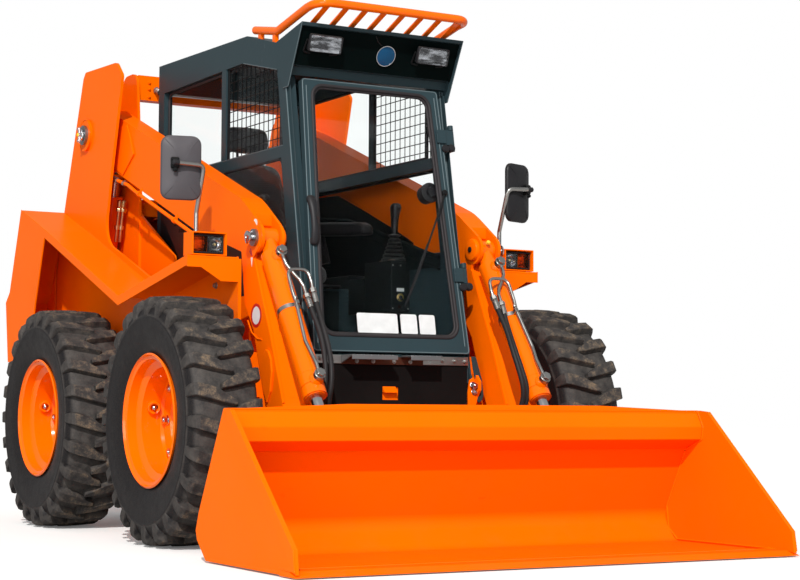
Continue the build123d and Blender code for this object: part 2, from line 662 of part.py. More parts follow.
def mirror_head(turn):
    """A rounded mirror head with its clamp, turned in towards the cab."""
    head = fillet(Box(*MIRROR_HEAD).edges().filter_by(Axis.Y), 34)
    clamp = Pos(0, -22, 14) * Box(34, 24, 34)
    return Pos(MIRROR_X, 68, 1386) * Rot(0, 0, turn) * (head + clamp)


def mirrors():
    """Each mirror: a bent rod up from the fender, a clamp and a rounded head."""
    foot_z = fender_top(95) + 1.9
    rod = bent_rod([(675, 95, foot_z), (675, 95, 1235), (675, 30, 1395), (MIRROR_X, 34, 1400)], 9, 26)
    base = Pos(675, 95, foot_z + 7) * Cylinder(20, 10)
    left, right = MIRROR_TURNS
    return rod + base + mirror_head(left) + other_side(rod + base + mirror_head(right))


# ---------------------------------------------------------------- loader arms
ARM_TOP = [(-123, 1176), (4, 1262), (45, 1286), (1430, 1813.6), (1521, 1820)]
ARM_BOTTOM = [(1600, 1601), (1362, 1541), (472, 1204), (27, 1082)]
LEG_FRONT = [(-78, 1050), (-222, 759), (-325, 518), (-430, 330), (-506, 242)]
LEG_REAR = [(-497, 150), (-455, 172), (-400, 210), (-240, 430), (-170, 560), (-84, 783), (-5, 888)]
LUG_LINE = [(1510, 1578), (1480, 1510), (1430, 1486), (1380, 1505), (1350, 1537)]
KNEE_SLOT = [(-200, 1260), (-62, 1260), (-62, 1175), (-30, 1140), (-30, 1090), (-78, 1046), (-200, 1046)]
KNEE_RADIUS = 56.0
ARM_END_RADIUS = 116.0
HINGE_PIN_RADIUS = 22.0
CROSS_TUBE = (-330.0, 400.0)


def arm():
    """One loader arm: the beam, the knee with its slot for the tilt cylinder, and the leg."""
    low = ARM_CENTRE_X - ARM_WIDTH / 2
    high = ARM_CENTRE_X + ARM_WIDTH / 2
    body = plate(LEG_FRONT[::-1] + ARM_TOP + ARM_BOTTOM + LEG_REAR[::-1], low, high)
    body = body + disc(KNEE_PIN, KNEE_RADIUS, low, high) + disc(ARM_PIVOT, ARM_END_RADIUS, low, high)
    body = body + disc(COUPLER_HINGE, 52, low, high)
    body = body - plate(KNEE_SLOT, low + PLATE, high - PLATE)
    body = body - disc(LIFT_PIN, 105, low + PLATE, high - PLATE)
    body = body + plate(LUG_LINE, low, low + PLATE) + plate(LUG_LINE, high - PLATE, high)
    body = body + disc(LIFT_PIN, 52, low, low + PLATE) + disc(LIFT_PIN, 52, high - PLATE, high)
    body = body - disc(ARM_PIVOT, PIVOT_PIN_RADIUS + RUNNING_GAP, low - 1, high + 1)
    body = body - disc(KNEE_PIN, CYLINDER_PIN_RADIUS + RUNNING_GAP, low - 1, high + 1)
    return body - disc(COUPLER_HINGE, HINGE_PIN_RADIUS + RUNNING_GAP, low - 1, high + 1)


def arm_cross_tube():
    edge = ARM_CENTRE_X - ARM_WIDTH / 2
    return disc(CROSS_TUBE, 57, -edge, edge)


def arm_pins():
    """The knee pins with their round heads."""
    low = ARM_CENTRE_X - ARM_WIDTH / 2
    high = ARM_CENTRE_X + ARM_WIDTH / 2
    knee = disc(KNEE_PIN, CYLINDER_PIN_RADIUS, low - 14, high + 14)
    knee = knee + disc(KNEE_PIN, 32, low - 14, low) + disc(KNEE_PIN, 32, high, high + 14)
    return pair(knee)


# ---------------------------------------------------------------- cylinders
# Each cylinder: base eye, rod eye at rest, radii, barrel length, eye width, pin reach, ports.
EYE_WIDTH = ARM_WIDTH - 2 * PLATE - 2 * EYE_GAP
TILT = {"base": KNEE_PIN, "tip": TILT_PIN, "barrel": 43.0, "rod": 22.0, "length": 707.0, "eye": EYE_WIDTH,
        "pin": ARM_WIDTH / 2 + EAR_GAP - EYE_GAP, "ports": (109.0, 658.0)}
LIFT = {"base": LIFT_BASE, "tip": LIFT_PIN, "barrel": 45.0, "rod": 25.0, "length": 870.0, "eye": EYE_WIDTH,
        "pin": ARM_WIDTH / 2 - PLATE - PIN_END_GAP, "ports": ()}
EYE_RADIUS = 38.0
BARREL_START = 78.0
PORT_RADIUS = 15.0
PORT_REACH = 60.0


def barrel(cylinder):
    """A cylinder's tube with its base eye, neck, gland ring and oil ports."""
    base = cylinder["base"]
    tip = cylinder["tip"]
    length = cylinder["length"]
    radius = cylinder["barrel"]
    x = ARM_CENTRE_X
    half = cylinder["eye"] / 2
    neck = rod_between(base, along(base, tip, BARREL_START + 5), 30, x)
    tube = rod_between(along(base, tip, BARREL_START), along(base, tip, length), radius, x)
    groove_start = along(base, tip, length - 42)
    groove_end = along(base, tip, length - 38)
    groove = rod_between(groove_start, groove_end, radius + 5, x) - rod_between(
        groove_start, groove_end, radius - 2.5, x)
    body = neck + tube - groove + disc(base, EYE_RADIUS, x - half, x + half)
    for distance in cylinder["ports"]:
        y, z = along(base, tip, distance)
        ahead = along((0, 0), (tip[1] - base[1], base[0] - tip[0]), PORT_REACH)
        body = body + rod_between((y, z), (y + ahead[0], z + ahead[1]), PORT_RADIUS, x)
    body = body - disc(base, CYLINDER_PIN_RADIUS + RUNNING_GAP, x - 60, x + 60)
    bore_start = along(base, tip, BARREL_START + 25)
    bore_end = along(base, tip, length + 5)
    return body - rod_between(bore_start, bore_end, cylinder["rod"] + RUNNING_GAP, x)


def rod(cylinder):
    """A cylinder's rod with its eye and the pin that it holds."""
    base = cylinder["base"]
    tip = cylinder["tip"]
    x = ARM_CENTRE_X
    half = cylinder["eye"] / 2
    bar = rod_between(along(base, tip, BARREL_START + 130), tip, cylinder["rod"], x)
    eye = disc(tip, EYE_RADIUS, x - half, x + half)
    pin = disc(tip, CYLINDER_PIN_RADIUS, x - cylinder["pin"], x + cylinder["pin"])
    return bar + eye + pin


# ---------------------------------------------------------------- coupler and bucket
BACK_FOOT = (-598.0, 99.0)
BACK_TOP = (-805.0, 501.0)
FLOOR_REAR = (-679.0, 6.0)
FLOOR_Z = 6.0
FLOOR_FRONT_Y = -1223.0
BUCKET_WALL = 8.0
EAR_LINE = [(-566, 132), (-516, 142), (-492, 178), (-500, 300), (-532, 410), (-560, 455), (-600, 458)]


def coupler():
    """The carrier between arms and bucket: a face plate, two pairs of ears and the hinge pins."""
    edge_low = ARM_CENTRE_X - ARM_WIDTH / 2 - EAR_GAP
    edge_high = ARM_CENTRE_X + ARM_WIDTH / 2 + EAR_GAP
    back = along(BACK_FOOT, BACK_TOP, 20)
    top = along(BACK_FOOT, BACK_TOP, 420)
    ear = rounded(outline([back] + EAR_LINE + [top]), [(-560, 455, 30), (-492, 178, 30)])
    half = thick(ear, edge_low - PLATE, edge_low) + thick(ear, edge_high, edge_high + PLATE)
    half = half + disc(COUPLER_HINGE, HINGE_PIN_RADIUS, edge_low - PLATE - 8, edge_high + PLATE + 8)
    foot = along(BACK_FOOT, BACK_TOP, 45)
    face = plate(sheet([foot, top], -16), -(edge_high + PLATE), edge_high + PLATE)
    return pair(half) + face


SIDE_PLATE = [(FLOOR_FRONT_Y, FLOOR_Z), FLOOR_REAR, (-609, 69), BACK_FOOT, (-620, 158), BACK_TOP,
              (-862, 496), (-1308, 86), (-1320, 12), (-1285, 20), (FLOOR_FRONT_Y, 20)]
EDGE_STRIP = [(-862, 496), (-1308, 86), (-1319, 18), (-1285, 21), (-1258, 21), (-1257, 63), (-814, 478)]
TOP_BOX = [(-805, 501), (-803, 451), (-754, 399)]


def bucket():
    """The bucket: a bent shell, two side plates with doubled edges, and the stiffened top edge."""
    outer_x = BUCKET_HALF_WIDTH - 5
    inner_x = outer_x - PLATE
    shell_line = [(FLOOR_FRONT_Y, FLOOR_Z), FLOOR_REAR, BACK_FOOT, BACK_TOP]
    inside = offset_line(shell_line, BUCKET_WALL)
    bends = [(*FLOOR_REAR, 60), (*BACK_FOOT, 60), (*inside[1], 60 - BUCKET_WALL),
             (*inside[2], 60 - BUCKET_WALL)]
    shell = thick(rounded(outline(sheet(shell_line, BUCKET_WALL)), bends), -inner_x, inner_x)
    side = rounded(outline(SIDE_PLATE), [(-862, 496, 22), (*BACK_TOP, 12)])
    ends = pair(thick(side, inner_x, outer_x) + plate(EDGE_STRIP, outer_x, outer_x + 4))
    box = plate(sheet(TOP_BOX, -SHEET), -inner_x, inner_x)
    bar = across([(-inner_x, 470), (inner_x, 470), (inner_x, 498), (515, 516), (-515, 516),
                  (-inner_x, 498)], -806, -796)
    return shell + ends + box + bar


def cutting_edge():
    line = [(BUCKET_LIP_Y, 4), (FLOOR_FRONT_Y, 4), (FLOOR_FRONT_Y, 20), (-1285, 20)]
    return plate(line, -BUCKET_HALF_WIDTH, BUCKET_HALF_WIDTH)


# ---------------------------------------------------------------- all pieces
def pieces():
    made = {
        "frame_sides": frame_sides(),
        "chaincases": chaincases(),
        "belly_pan": belly_pan(),
        "rear_bumper": rear_bumper(),
        "axle_housings": axle_housings(),
        "engine_block": engine_block(),
        "side_louvres": side_louvres(),
        "tower_pins": tower_pins(),
        "tower_cross_beam": tower_cross_beam(),
        "engine_hood": engine_hood(),
        "rear_door": rear_door(),
        "cab_frame": cab_frame(),
        "cab_roof": cab_roof(),
        "roof_guard": roof_guard(),
        "side_guards": side_guards(),
        "cab_windows": cab_windows(),
        "cab_door": cab_door(),
        "door_glass": door_glass(),
        "door_handle": door_handle(),
        "seat": seat(),
        "controls": controls(),
        "turn_lamps": turn_lamps(),
        "work_lamps": work_lamps(),
        "mirrors": mirrors(),
        "front_step": front_step(),
        "arm_cross_tube": arm_cross_tube(),
        "arm_pins": arm_pins(),
        "coupler": coupler(),
        "bucket": bucket(),
        "cutting_edge": cutting_edge(),
    }
    sided = {
        "tower": tower(),
        "fender": fender(),
        "arm": arm(),
        "tilt_barrel": barrel(TILT),
        "tilt_rod": rod(TILT),
        "lift_barrel": barrel(LIFT),
        "lift_rod": rod(LIFT),
    }
    for name, shape in sided.items():
        made[name + "_left"] = shape
        made[name + "_right"] = other_side(shape)
    for end, place in (("front", FRONT_AXLE), ("rear", REAR_AXLE)):
        for hand, side in (("left", 1), ("right", -1)):
            made[f"tyre_{end}_{hand}"] = tyre(place, side)
            made[f"rim_{end}_{hand}"] = rim(place, side)
    return made


os.makedirs("parts", exist_ok=True)
for node, shape in pieces().items():
    export_step(Pos(0, -ORIGIN_Y, 0) * shape, f"parts/{node}.step")
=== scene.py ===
"""Looks of a wheeled skid steer loader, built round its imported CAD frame.

Places are given in mm as (x, y, z): x towards the machine's left, y back from the front axle and
z up from the ground. at() turns them into the frame's metres.
"""

import math

import bpy
from mathutils import Matrix, Vector


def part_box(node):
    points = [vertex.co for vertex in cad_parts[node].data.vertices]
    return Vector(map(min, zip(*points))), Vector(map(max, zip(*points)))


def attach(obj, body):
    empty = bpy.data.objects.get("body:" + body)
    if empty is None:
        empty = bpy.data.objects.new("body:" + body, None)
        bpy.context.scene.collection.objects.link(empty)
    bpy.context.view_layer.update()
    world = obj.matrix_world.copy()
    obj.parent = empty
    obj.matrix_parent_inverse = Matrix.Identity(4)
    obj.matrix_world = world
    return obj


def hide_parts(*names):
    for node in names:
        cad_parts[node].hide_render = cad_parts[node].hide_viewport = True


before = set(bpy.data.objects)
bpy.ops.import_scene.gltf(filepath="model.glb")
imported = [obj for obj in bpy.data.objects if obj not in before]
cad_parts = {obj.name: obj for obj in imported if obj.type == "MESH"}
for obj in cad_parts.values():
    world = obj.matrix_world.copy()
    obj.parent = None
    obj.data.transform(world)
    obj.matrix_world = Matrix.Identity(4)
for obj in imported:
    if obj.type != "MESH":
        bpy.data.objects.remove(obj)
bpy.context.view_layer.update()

MM = 0.001
HANDS = {"left": 1, "right": -1}
MIRROR = Matrix.Diagonal((-1, 1, 1, 1))
# Directions of the machine.
UP, AHEAD, LEFT, RIGHT = (0, 0, 1), (0, -1, 0), (1, 0, 0), (-1, 0, 0)


def middle(node, axis):
    """Where the middle of a CAD node stands along one axis, in metres."""
    low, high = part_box(node)
    return (low[axis] + high[axis]) / 2


FRONT_AXLE_Y = middle("rim_front_left", 1)
WHEELBASE = (middle("rim_rear_left", 1) - FRONT_AXLE_Y) / MM
AXLE_Z = middle("rim_front_left", 2) / MM
WHEEL_X = 776.5


def at(x, y, z):
    """A place in mm from the front axle's middle on the ground, in the frame's metres."""
    return Vector((x * MM, FRONT_AXLE_Y + y * MM, z * MM))


def places(*rows):
    """Places from (x, y, z) rows."""
    return [at(*row) for row in rows]


def in_side(x, rows):
    """Places from (y, z) rows in the side plane at x."""
    return [at(x, y, z) for y, z in rows]


# ---------------------------------------------------------------- modelling helpers
def alone(piece):
    """Selects one piece and nothing else."""
    if bpy.context.object and bpy.context.object.mode != "OBJECT":
        bpy.ops.object.mode_set(mode="OBJECT")
    bpy.ops.object.select_all(action="DESELECT")
    piece.select_set(True)
    bpy.context.view_layer.objects.active = piece


def linked(name, data):
    """A new object in the scene for a curve, a lamp or a camera."""
    made = bpy.data.objects.new(name, data)
    bpy.context.collection.objects.link(made)
    return made


def finish_modifier(piece, kind, **values):
    alone(piece)
    modifier = piece.modifiers.new(kind.lower(), kind)
    for key, value in values.items():
        setattr(modifier, key, value)
    bpy.ops.object.modifier_apply(modifier=modifier.name)
    return piece


def round_edges(piece, width, segments=2, angle=35):
    return finish_modifier(piece, "BEVEL", width=width * MM, segments=segments, limit_method="ANGLE",
                           angle_limit=math.radians(angle), use_clamp_overlap=True)


def smooth(piece, angle=35):
    alone(piece)
    bpy.ops.object.shade_smooth_by_angle(angle=math.radians(angle))
    return piece


def join(pieces):
    """One piece made of several."""
    alone(pieces[0])
    for piece in pieces[1:]:
        piece.select_set(True)
    if len(pieces) > 1:
        bpy.ops.object.join()
    return pieces[0]


def edit_all(piece):
    alone(piece)
    bpy.ops.object.mode_set(mode="EDIT")
    bpy.ops.mesh.select_all(action="SELECT")


def leave_edit():
    bpy.ops.object.mode_set(mode="OBJECT")


def face_out(piece, merge=0.00001):
    """Merges doubled points and turns every face outwards."""
    edit_all(piece)
    bpy.ops.mesh.remove_doubles(threshold=merge)
    bpy.ops.mesh.normals_make_consistent(inside=False)
    leave_edit()
    return piece


def copy_of(piece, move=None):
    """A copy with its own mesh, moved by a matrix."""
    twin = piece.copy()
    twin.data = piece.data.copy()
    bpy.context.collection.objects.link(twin)
    if move is not None:
        twin.data.transform(move)
        if move.determinant() < 0:
            twin.data.flip_normals()
    return twin


def show(name, pieces, finish, slot=None, body="chassis", node=None, twin=False):
    """Joins pieces, with their mirrored twin if asked, and gives them a name, finish and body.

    slot is not used, and node names the CAD node that the piece stands for.
    """
    piece = join(pieces) if isinstance(pieces, list) else pieces
    if twin:
        piece = join([piece, copy_of(piece, MIRROR)])
    piece.name = piece.data.name = name
    piece.data.materials.clear()
    piece.data.materials.append(finish)
    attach(piece, body)
    if node:
        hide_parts(node)
    return piece


def show_pair(name, pieces, finish, slot=None, body="chassis", node=None, drawn="right"):
    """Pieces drawn on one hand, shown on each under its own name. {hand} in body is filled in."""
    model = join(pieces) if isinstance(pieces, list) else pieces
    for hand in HANDS:
        copy = copy_of(model, None if hand == drawn else MIRROR)
        show(f"{name}_{hand}", copy, finish, slot, body.format(hand=hand), node)
    bpy.data.objects.remove(model)


def slab(low, high, edge=2.0, segments=2):
    """A block with rounded edges between two corners."""
    low, high = at(*low), at(*high)
    bpy.ops.object.select_all(action="DESELECT")
    bpy.ops.mesh.primitive_cube_add(size=1, location=(low + high) / 2, scale=high - low)
    bpy.ops.object.transform_apply(location=True, rotation=True, scale=True)
    return round_edges(bpy.context.object, edge, segments)


def outline(points, fill):
    """A loop of points, filled or left open, in edit mode with all of it selected."""
    bpy.ops.object.select_all(action="DESELECT")
    bpy.ops.mesh.primitive_circle_add(vertices=len(points), radius=1, fill_type="NGON" if fill else "NOTHING")
    piece = bpy.context.object
    for vertex, point in zip(piece.data.vertices, points):
        vertex.co = point
    edit_all(piece)
    return piece


def close_up(piece):
    """Turns a finished skin's faces outwards and leaves edit mode."""
    bpy.ops.mesh.select_all(action="SELECT")
    bpy.ops.mesh.normals_make_consistent(inside=False)
    leave_edit()
    return piece


def extruded(points, push, edge=1.5, segments=2):
    """A plate: an outline of places filled and pushed out along a vector in mm."""
    piece = outline(points, True)
    bpy.ops.mesh.extrude_region_move(TRANSFORM_OT_translate={"value": Vector(push) * MM})
    close_up(piece)
    return round_edges(piece, edge, segments) if edge else piece


def side_plate(rows, x_low, x_high, edge=1.5, segments=2):
    """A plate whose outline is given as (y, z) in the side view."""
    return extruded(in_side(x_low, rows), (x_high - x_low, 0, 0), edge, segments)


def stand(piece, centre, axis):
    """Stands a piece that was made about the Z axis on a place, along an axis."""
    turn = Vector(axis).to_track_quat("Z", "Y").to_matrix().to_4x4()
    piece.data.transform(Matrix.Translation(centre) @ turn)
    return piece


def ring(profile, centre, axis, steps=48, closed=True):
    """A ring turned round an axis through a place, from a loop of (along, radius) rows in mm."""
    piece = outline([(radius * MM, 0, along * MM) for along, radius in profile], False)
    if not closed:
        bpy.ops.mesh.select_all(action="DESELECT")
        leave_edit()
        for edge in piece.data.edges:
            edge.select = set(edge.vertices) == {0, len(profile) - 1}
        alone(piece)
        bpy.ops.object.mode_set(mode="EDIT")
        bpy.ops.mesh.select_mode(type="EDGE")
        bpy.ops.mesh.delete(type="EDGE_FACE")
        bpy.ops.mesh.select_mode(type="VERT")
        bpy.ops.mesh.select_all(action="SELECT")
    bpy.ops.mesh.spin(steps=steps, angle=math.tau, center=(0, 0, 0), axis=(0, 0, 1))
    leave_edit()
    return smooth(stand(face_out(piece), centre, axis))


def solid(profile, centre, axis, steps=24):
    """A solid body turned from a profile, whose flat ends are closed as far as the axis."""
    ends = [[(along, 0)] if radius else [] for along, radius in (profile[0], profile[-1])]
    return ring([*ends[0], *profile, *ends[1]], centre, axis, steps, closed=False)


def stretch(rings):
    """A capped body pulled through a row of rings of places by repeated extrusion."""
    piece = outline(rings[0], True)
    for before, after in zip(rings, rings[1:]):
        bpy.ops.mesh.extrude_region_move()
        leave_edit()
        moved = [vertex for vertex in piece.data.vertices if vertex.select]
        nearest = [min(range(len(before)), key=lambda i: (vertex.co - before[i]).length_squared)
                   for vertex in moved]
        for vertex, i in zip(moved, nearest):
            vertex.co = after[i]
        bpy.ops.object.mode_set(mode="EDIT")
    return close_up(piece)


def rounded_route(points, bend, steps=6):
    """The points of a route with its corners turned into arcs of one radius, in metres."""
    route = [points[0]]
    for before, corner, after in zip(points, points[1:], points[2:]):
        back = before - corner
        ahead = after - corner
        half = back.angle(ahead) / 2
        reach = min(bend * MM / math.tan(half), 0.48 * back.length, 0.48 * ahead.length)
        start = corner + back.normalized() * reach
        end = corner + ahead.normalized() * reach
        for i in range(steps + 1):
            t = i / steps
            route.append(start * (1 - t) ** 2 + corner * 2 * t * (1 - t) + end * t ** 2)
    return route + [points[-1]]


def curved(kind, route, radius, rounds, angle, swell=None, closed=False):
    """A round bar along a curve, made into a mesh. swell gives a thickness factor for each point."""
    curve = bpy.data.curves.new("bar", "CURVE")
    curve.dimensions = "3D"
    curve.bevel_depth = radius * MM
    curve.bevel_resolution = rounds
    curve.use_fill_caps = not closed
    spline = curve.splines.new(kind)
    spline.points.add(len(route) - 1)
    spline.use_cyclic_u = closed
    for i, (knot, place) in enumerate(zip(spline.points, route)):
        knot.co = (*place, 1)
        if swell:
            knot.radius = swell[i]
    if kind == "NURBS":
        curve.resolution_u = 10
        spline.order_u = 3
        spline.use_endpoint_u = True
    alone(linked("bar", curve))
    bpy.ops.object.convert(target="MESH")
    return smooth(bpy.context.object, angle)


def tube(points, radius, bend=0.0, rounds=3, swell=None):
    """A round bar or pipe along a route of places, with its corners bent to a radius."""
    return curved("POLY", rounded_route(points, bend) if bend else points, radius, rounds, 50, swell)


def closed_tube(loop, radius):
    return curved("POLY", loop, radius, 3, 50, closed=True)


def soft_tube(points, radius):
    """A bent hose through a few places, on a smooth curve."""
    return curved("NURBS", points, radius, 4, 60)


def hexagon(centre, axis, across, height):
    """A hexagon head or nut standing on a place."""
    bpy.ops.object.select_all(action="DESELECT")
    bpy.ops.mesh.primitive_cylinder_add(vertices=6, radius=across * MM / math.sqrt(3), depth=height * MM)
    piece = bpy.context.object
    piece.data.transform(Matrix.Translation((0, 0, height * MM / 2)))
    return stand(round_edges(piece, across * 0.06, 2, 30), centre, axis)


def bolt(centre, axis, across=18.0, height=9.0):
    """A bolt head on its washer, with the screw's end showing in the middle."""
    axis = Vector(axis).normalized()
    return join([
        solid([(0, across * 0.72), (1.6, across * 0.76), (2.6, across * 0.7)], centre, axis, 20),
        hexagon(centre + axis * 2.4 * MM, axis, across, height),
        solid([(0, across * 0.3), (3.4, across * 0.3), (4.4, across * 0.24)],
              centre + axis * (height + 1) * MM, axis, 12)])


def weld(points, radius=4.0, pitch=7.0):
    """A weld bead along a line of places, swelling at each ripple."""
    route = []
    for start, end in zip(points, points[1:]):
        count = max(2, int((end - start).length / (pitch * MM / 2)))
        route += [start.lerp(end, i / count) for i in range(count)]
    route.append(points[-1])
    return tube(route, radius, rounds=1, swell=[1.0 if i % 2 else 0.78 for i in range(len(route))])


def rounded(half_u, half_v, corner, steps, first=0):
    """A rectangle about 0, 0 with rounded corners, as (u, v) rows from one quarter onwards."""
    rows = []
    for quarter in (number % 4 for number in range(first, first + 4)):
        side_u, side_v = ((1, 1), (-1, 1), (-1, -1), (1, -1))[quarter]
        for step in range(steps):
            angle = math.radians(90 * quarter + 90 / (steps - 1) * step)
            rows.append((side_u * (half_u - corner) + corner * math.cos(angle),
                         side_v * (half_v - corner) + corner * math.sin(angle)))
    return rows


def ring_line(x, y, z, radius, steps=28):
    """Places round a circle across the machine."""
    return [at(x, y + radius * math.cos(math.tau * i / steps), z + radius * math.sin(math.tau * i / steps))
            for i in range(steps + 1)]


# ---------------------------------------------------------------- shader groups
class Web:
    """A node tree with short calls to add nodes and join sockets."""

    def __init__(self, tree):
        self.tree = tree

    def node(self, kind, *links, **values):
        made = self.tree.nodes.new(kind if kind.startswith("NodeGroup") else "ShaderNode" + kind)
        for key, value in values.items():
            setattr(made, key, value)
        for socket, source in links:
            self.feed(made.inputs[socket], source)
        return made

    def feed(self, socket, source):
        if isinstance(source, bpy.types.NodeSocket):
            self.tree.links.new(source, socket)
        else:
            socket.default_value = source

    def maths(self, operation, first, second, clamp=False):
        return self.node("Math", (0, first), (1, second), operation=operation, use_clamp=clamp).outputs[0]

    def plus(self, first, second, clamp=False):
        return self.maths("ADD", first, second, clamp)

    def times(self, first, second, clamp=False):
        return self.maths("MULTIPLY", first, second, clamp)

    def place(self):
        return self.node("TexCoord").outputs["Object"]

    def noise(self, vector, scale, detail=3.0, roughness=0.5):
        return self.node("TexNoise", ("Vector", vector), ("Scale", scale), ("Detail", detail),
                         ("Roughness", roughness)).outputs["Fac"]

    def remap(self, value, low, high, to_low=0.0, to_high=1.0):
        return self.node("MapRange", ("Value", value), ("From Min", low), ("From Max", high),
                         ("To Min", to_low), ("To Max", to_high), clamp=True).outputs[0]

    def grouped(self, group, **values):
        return self.node("Group", node_tree=group, *(
            (key.replace("_", " "), value) for key, value in values.items())).outputs[0]

    def blend(self, factor, first, second):
        ends = [c if isinstance(c, bpy.types.NodeSocket) else (*c[:3], 1) for c in (first, second)]
        return self.node("Mix", ("Factor", factor), (6, ends[0]), (7, ends[1]), data_type="RGBA").outputs[2]

    def bump(self, height, strength, distance):
        return self.node("Bump", ("Height", height), ("Strength", strength),
                         ("Distance", distance)).outputs[0]

    def give(self, value):
        """Sends a value out of a group, and returns the group."""
        self.node("NodeGroupOutput", (0, value))
        return self.tree


def new_group(name, output, **inputs):
    """An empty shader group's web and the sockets of its inputs."""
    group = bpy.data.node_groups.new(name, "ShaderNodeTree")
    for socket, value in inputs.items():
        made = group.interface.new_socket(name=socket.replace("_", " "), in_out="INPUT",
                                          socket_type="NodeSocketFloat")
        made.default_value = value
    group.interface.new_socket(name=output, in_out="OUTPUT", socket_type="NodeSocketFloat")
    web = Web(group)
    return web, web.node("NodeGroupInput").outputs


def settled_dust_group():
    """Dust that lies on faces that look up and gathers low on the machine."""
    web, given = new_group("settled_dust", "Mask", Amount=0.5, Low_Height=0.6)
    place = web.node("TexCoord").outputs
    patches = web.remap(web.noise(place["Object"], 9.0, 5.0, 0.62), 0.42, 0.72)
    specks = web.remap(web.noise(place["Object"], 160.0, 2.0, 0.6), 0.52, 0.75)
    up = web.remap(web.node("SeparateXYZ", (0, place["Normal"])).outputs["Z"], 0.35, 1.0)
    height = web.node("SeparateXYZ", (0, place["Object"])).outputs["Z"]
    low = web.remap(web.maths("DIVIDE", height, given["Low Height"]), 1.0, 0.2)
    spread = web.plus(web.times(up, 0.45), web.times(low, 0.6))
    texture = web.plus(web.times(patches, 0.75), web.times(specks, 0.35))
    return web.give(web.times(web.times(spread, texture), given["Amount"], True))


def spray_texture_group():
    """The fine unevenness of sprayed paint, and its slow waves."""
    web, given = new_group("spray_texture", "Height", Grain=220.0, Wave=6.0)
    place = web.place()
    grain = web.noise(place, given["Grain"], 1.5)
    return web.give(web.plus(web.times(grain, 0.12), web.noise(place, given["Wave"], 1.0)))


def rub_marks_group():
    """Thin scratches and small chips, as a mask."""
    web, given = new_group("rub_marks", "Mask", Amount=0.3, Scale=14.0)
    place = web.place()
    drawn_out = web.node("Mapping", ("Vector", place), ("Rotation", (0.5, 0.3, 0.9)),
                         ("Scale", (1, 9, 1.4))).outputs[0]
    line = web.remap(web.noise(drawn_out, given["Scale"], 4.0), 0.66, 0.7)
    where = web.remap(web.noise(place, 3.1, 2.0), 0.5, 0.66)
    chips = web.remap(web.noise(place, 75.0, 3.0, 0.7), 0.7, 0.73)
    both = web.maths("MAXIMUM", line, web.times(chips, 0.7))
    return web.give(web.times(web.times(both, where), given["Amount"], True))


def cloudy_group():
    """Slow cloudy variation from 0 to 1."""
    web, given = new_group("cloudy", "Value", Scale=3.0, Detail=4.0)
    return web.give(web.remap(web.noise(web.place(), given["Scale"], given["Detail"]), 0.3, 0.7))


DUST = settled_dust_group()
SPRAY = spray_texture_group()
MARKS = rub_marks_group()
CLOUDY = cloudy_group()
DUST_COLOUR = (0.30, 0.22, 0.14)


# ---------------------------------------------------------------- materials
def material(name, colour, roughness=0.5, **sockets):
    """A material with its Principled shader. Returns the material, its web and the shader's inputs."""
    made = bpy.data.materials.new(name)
    made.use_nodes = True
    made.diffuse_color = (*colour, 1)
    inputs = made.node_tree.nodes["Principled BSDF"].inputs
    inputs["Base Color"].default_value = (*colour, 1)
    inputs["Roughness"].default_value = roughness
    for key, value in sockets.items():
        inputs[key.replace("_", " ")].default_value = value
    return made, Web(made.node_tree), inputs


def shaded(colour, factor):
    return tuple(c * factor for c in colour)


def covered(name, colour, roughness, clouds, dust, texture, second=None, rub=None, low_height=0.6, **sockets):
    """The common build of paint, metal and plastic: clouds, rub marks, settled dust and a texture.

    clouds is (scale, change of roughness), dust (amount, change of roughness), texture (group
    values, strength, distance) and rub (amount, colour).
    """
    made, web, inputs = material(name, colour, roughness, **sockets)
    cloud = web.grouped(CLOUDY, Scale=clouds[0])
    base = web.blend(cloud, colour, second or colour)
    if rub:
        base = web.blend(web.grouped(MARKS, Amount=rub[0]), base, rub[1])
    settled = web.grouped(DUST, Amount=dust[0], Low_Height=low_height)
    web.feed(inputs["Base Color"], web.blend(settled, base, DUST_COLOUR))
    rough = web.plus(web.times(settled, dust[1]), roughness)
    web.feed(inputs["Roughness"], web.plus(rough, web.times(cloud, clouds[1]), True))
    values, strength, distance = texture
    web.feed(inputs["Normal"], web.bump(web.grouped(SPRAY, **values), strength, distance))
    if sockets.get("Metallic"):
        web.feed(inputs["Metallic"], web.maths("SUBTRACT", 1.0, settled, True))
    return made


def paint(name, colour, roughness, coat, dust=0.4, marks=0.3, worn=None, low_height=0.6, index=1.2):
    """Sprayed paint: slow fading, thin rub marks, settled dust and an uneven sprayed surface."""
    return covered(name, colour, roughness, (2.2, 0.05), (dust, 0.45), ({"Wave": 5.0}, 0.25, 0.0022),
                   shaded(colour, 0.94), (marks, worn or shaded(colour, 0.45)), low_height,
                   Coat_Weight=coat, Coat_Roughness=0.1, IOR=index)


def metal(name, colour, roughness, dust=0.2):
    """Bare or plated metal with a slightly uneven shine."""
    return covered(name, colour, roughness, (24.0, 0.14), (dust, 0.4),
                   ({"Grain": 900.0, "Wave": 60.0}, 0.08, 0.0005), Metallic=1.0)


def moulded(name, colour, roughness=0.45, dust=0.3, grain=1400.0, depth=0.15, index=1.3):
    """Moulded plastic or rubber with a fine grain."""
    return covered(name, colour, roughness, (7.0, 0.08), (dust, 0.4),
                   ({"Grain": grain, "Wave": 40.0}, depth, 0.0006), shaded(colour, 1.35), IOR=index)


def glass(name, colour, roughness=0.01, smear=0.05, index=1.4):
    """Clear or tinted glass with a faint film of dust."""
    made, web, inputs = material(name, colour, roughness, IOR=index, Transmission_Weight=1.0)
    film = web.remap(web.noise(web.place(), 5.0, 4.0), 0.45, 0.75, 0.0, smear)
    web.feed(inputs["Roughness"], web.plus(film, roughness, True))
    return made


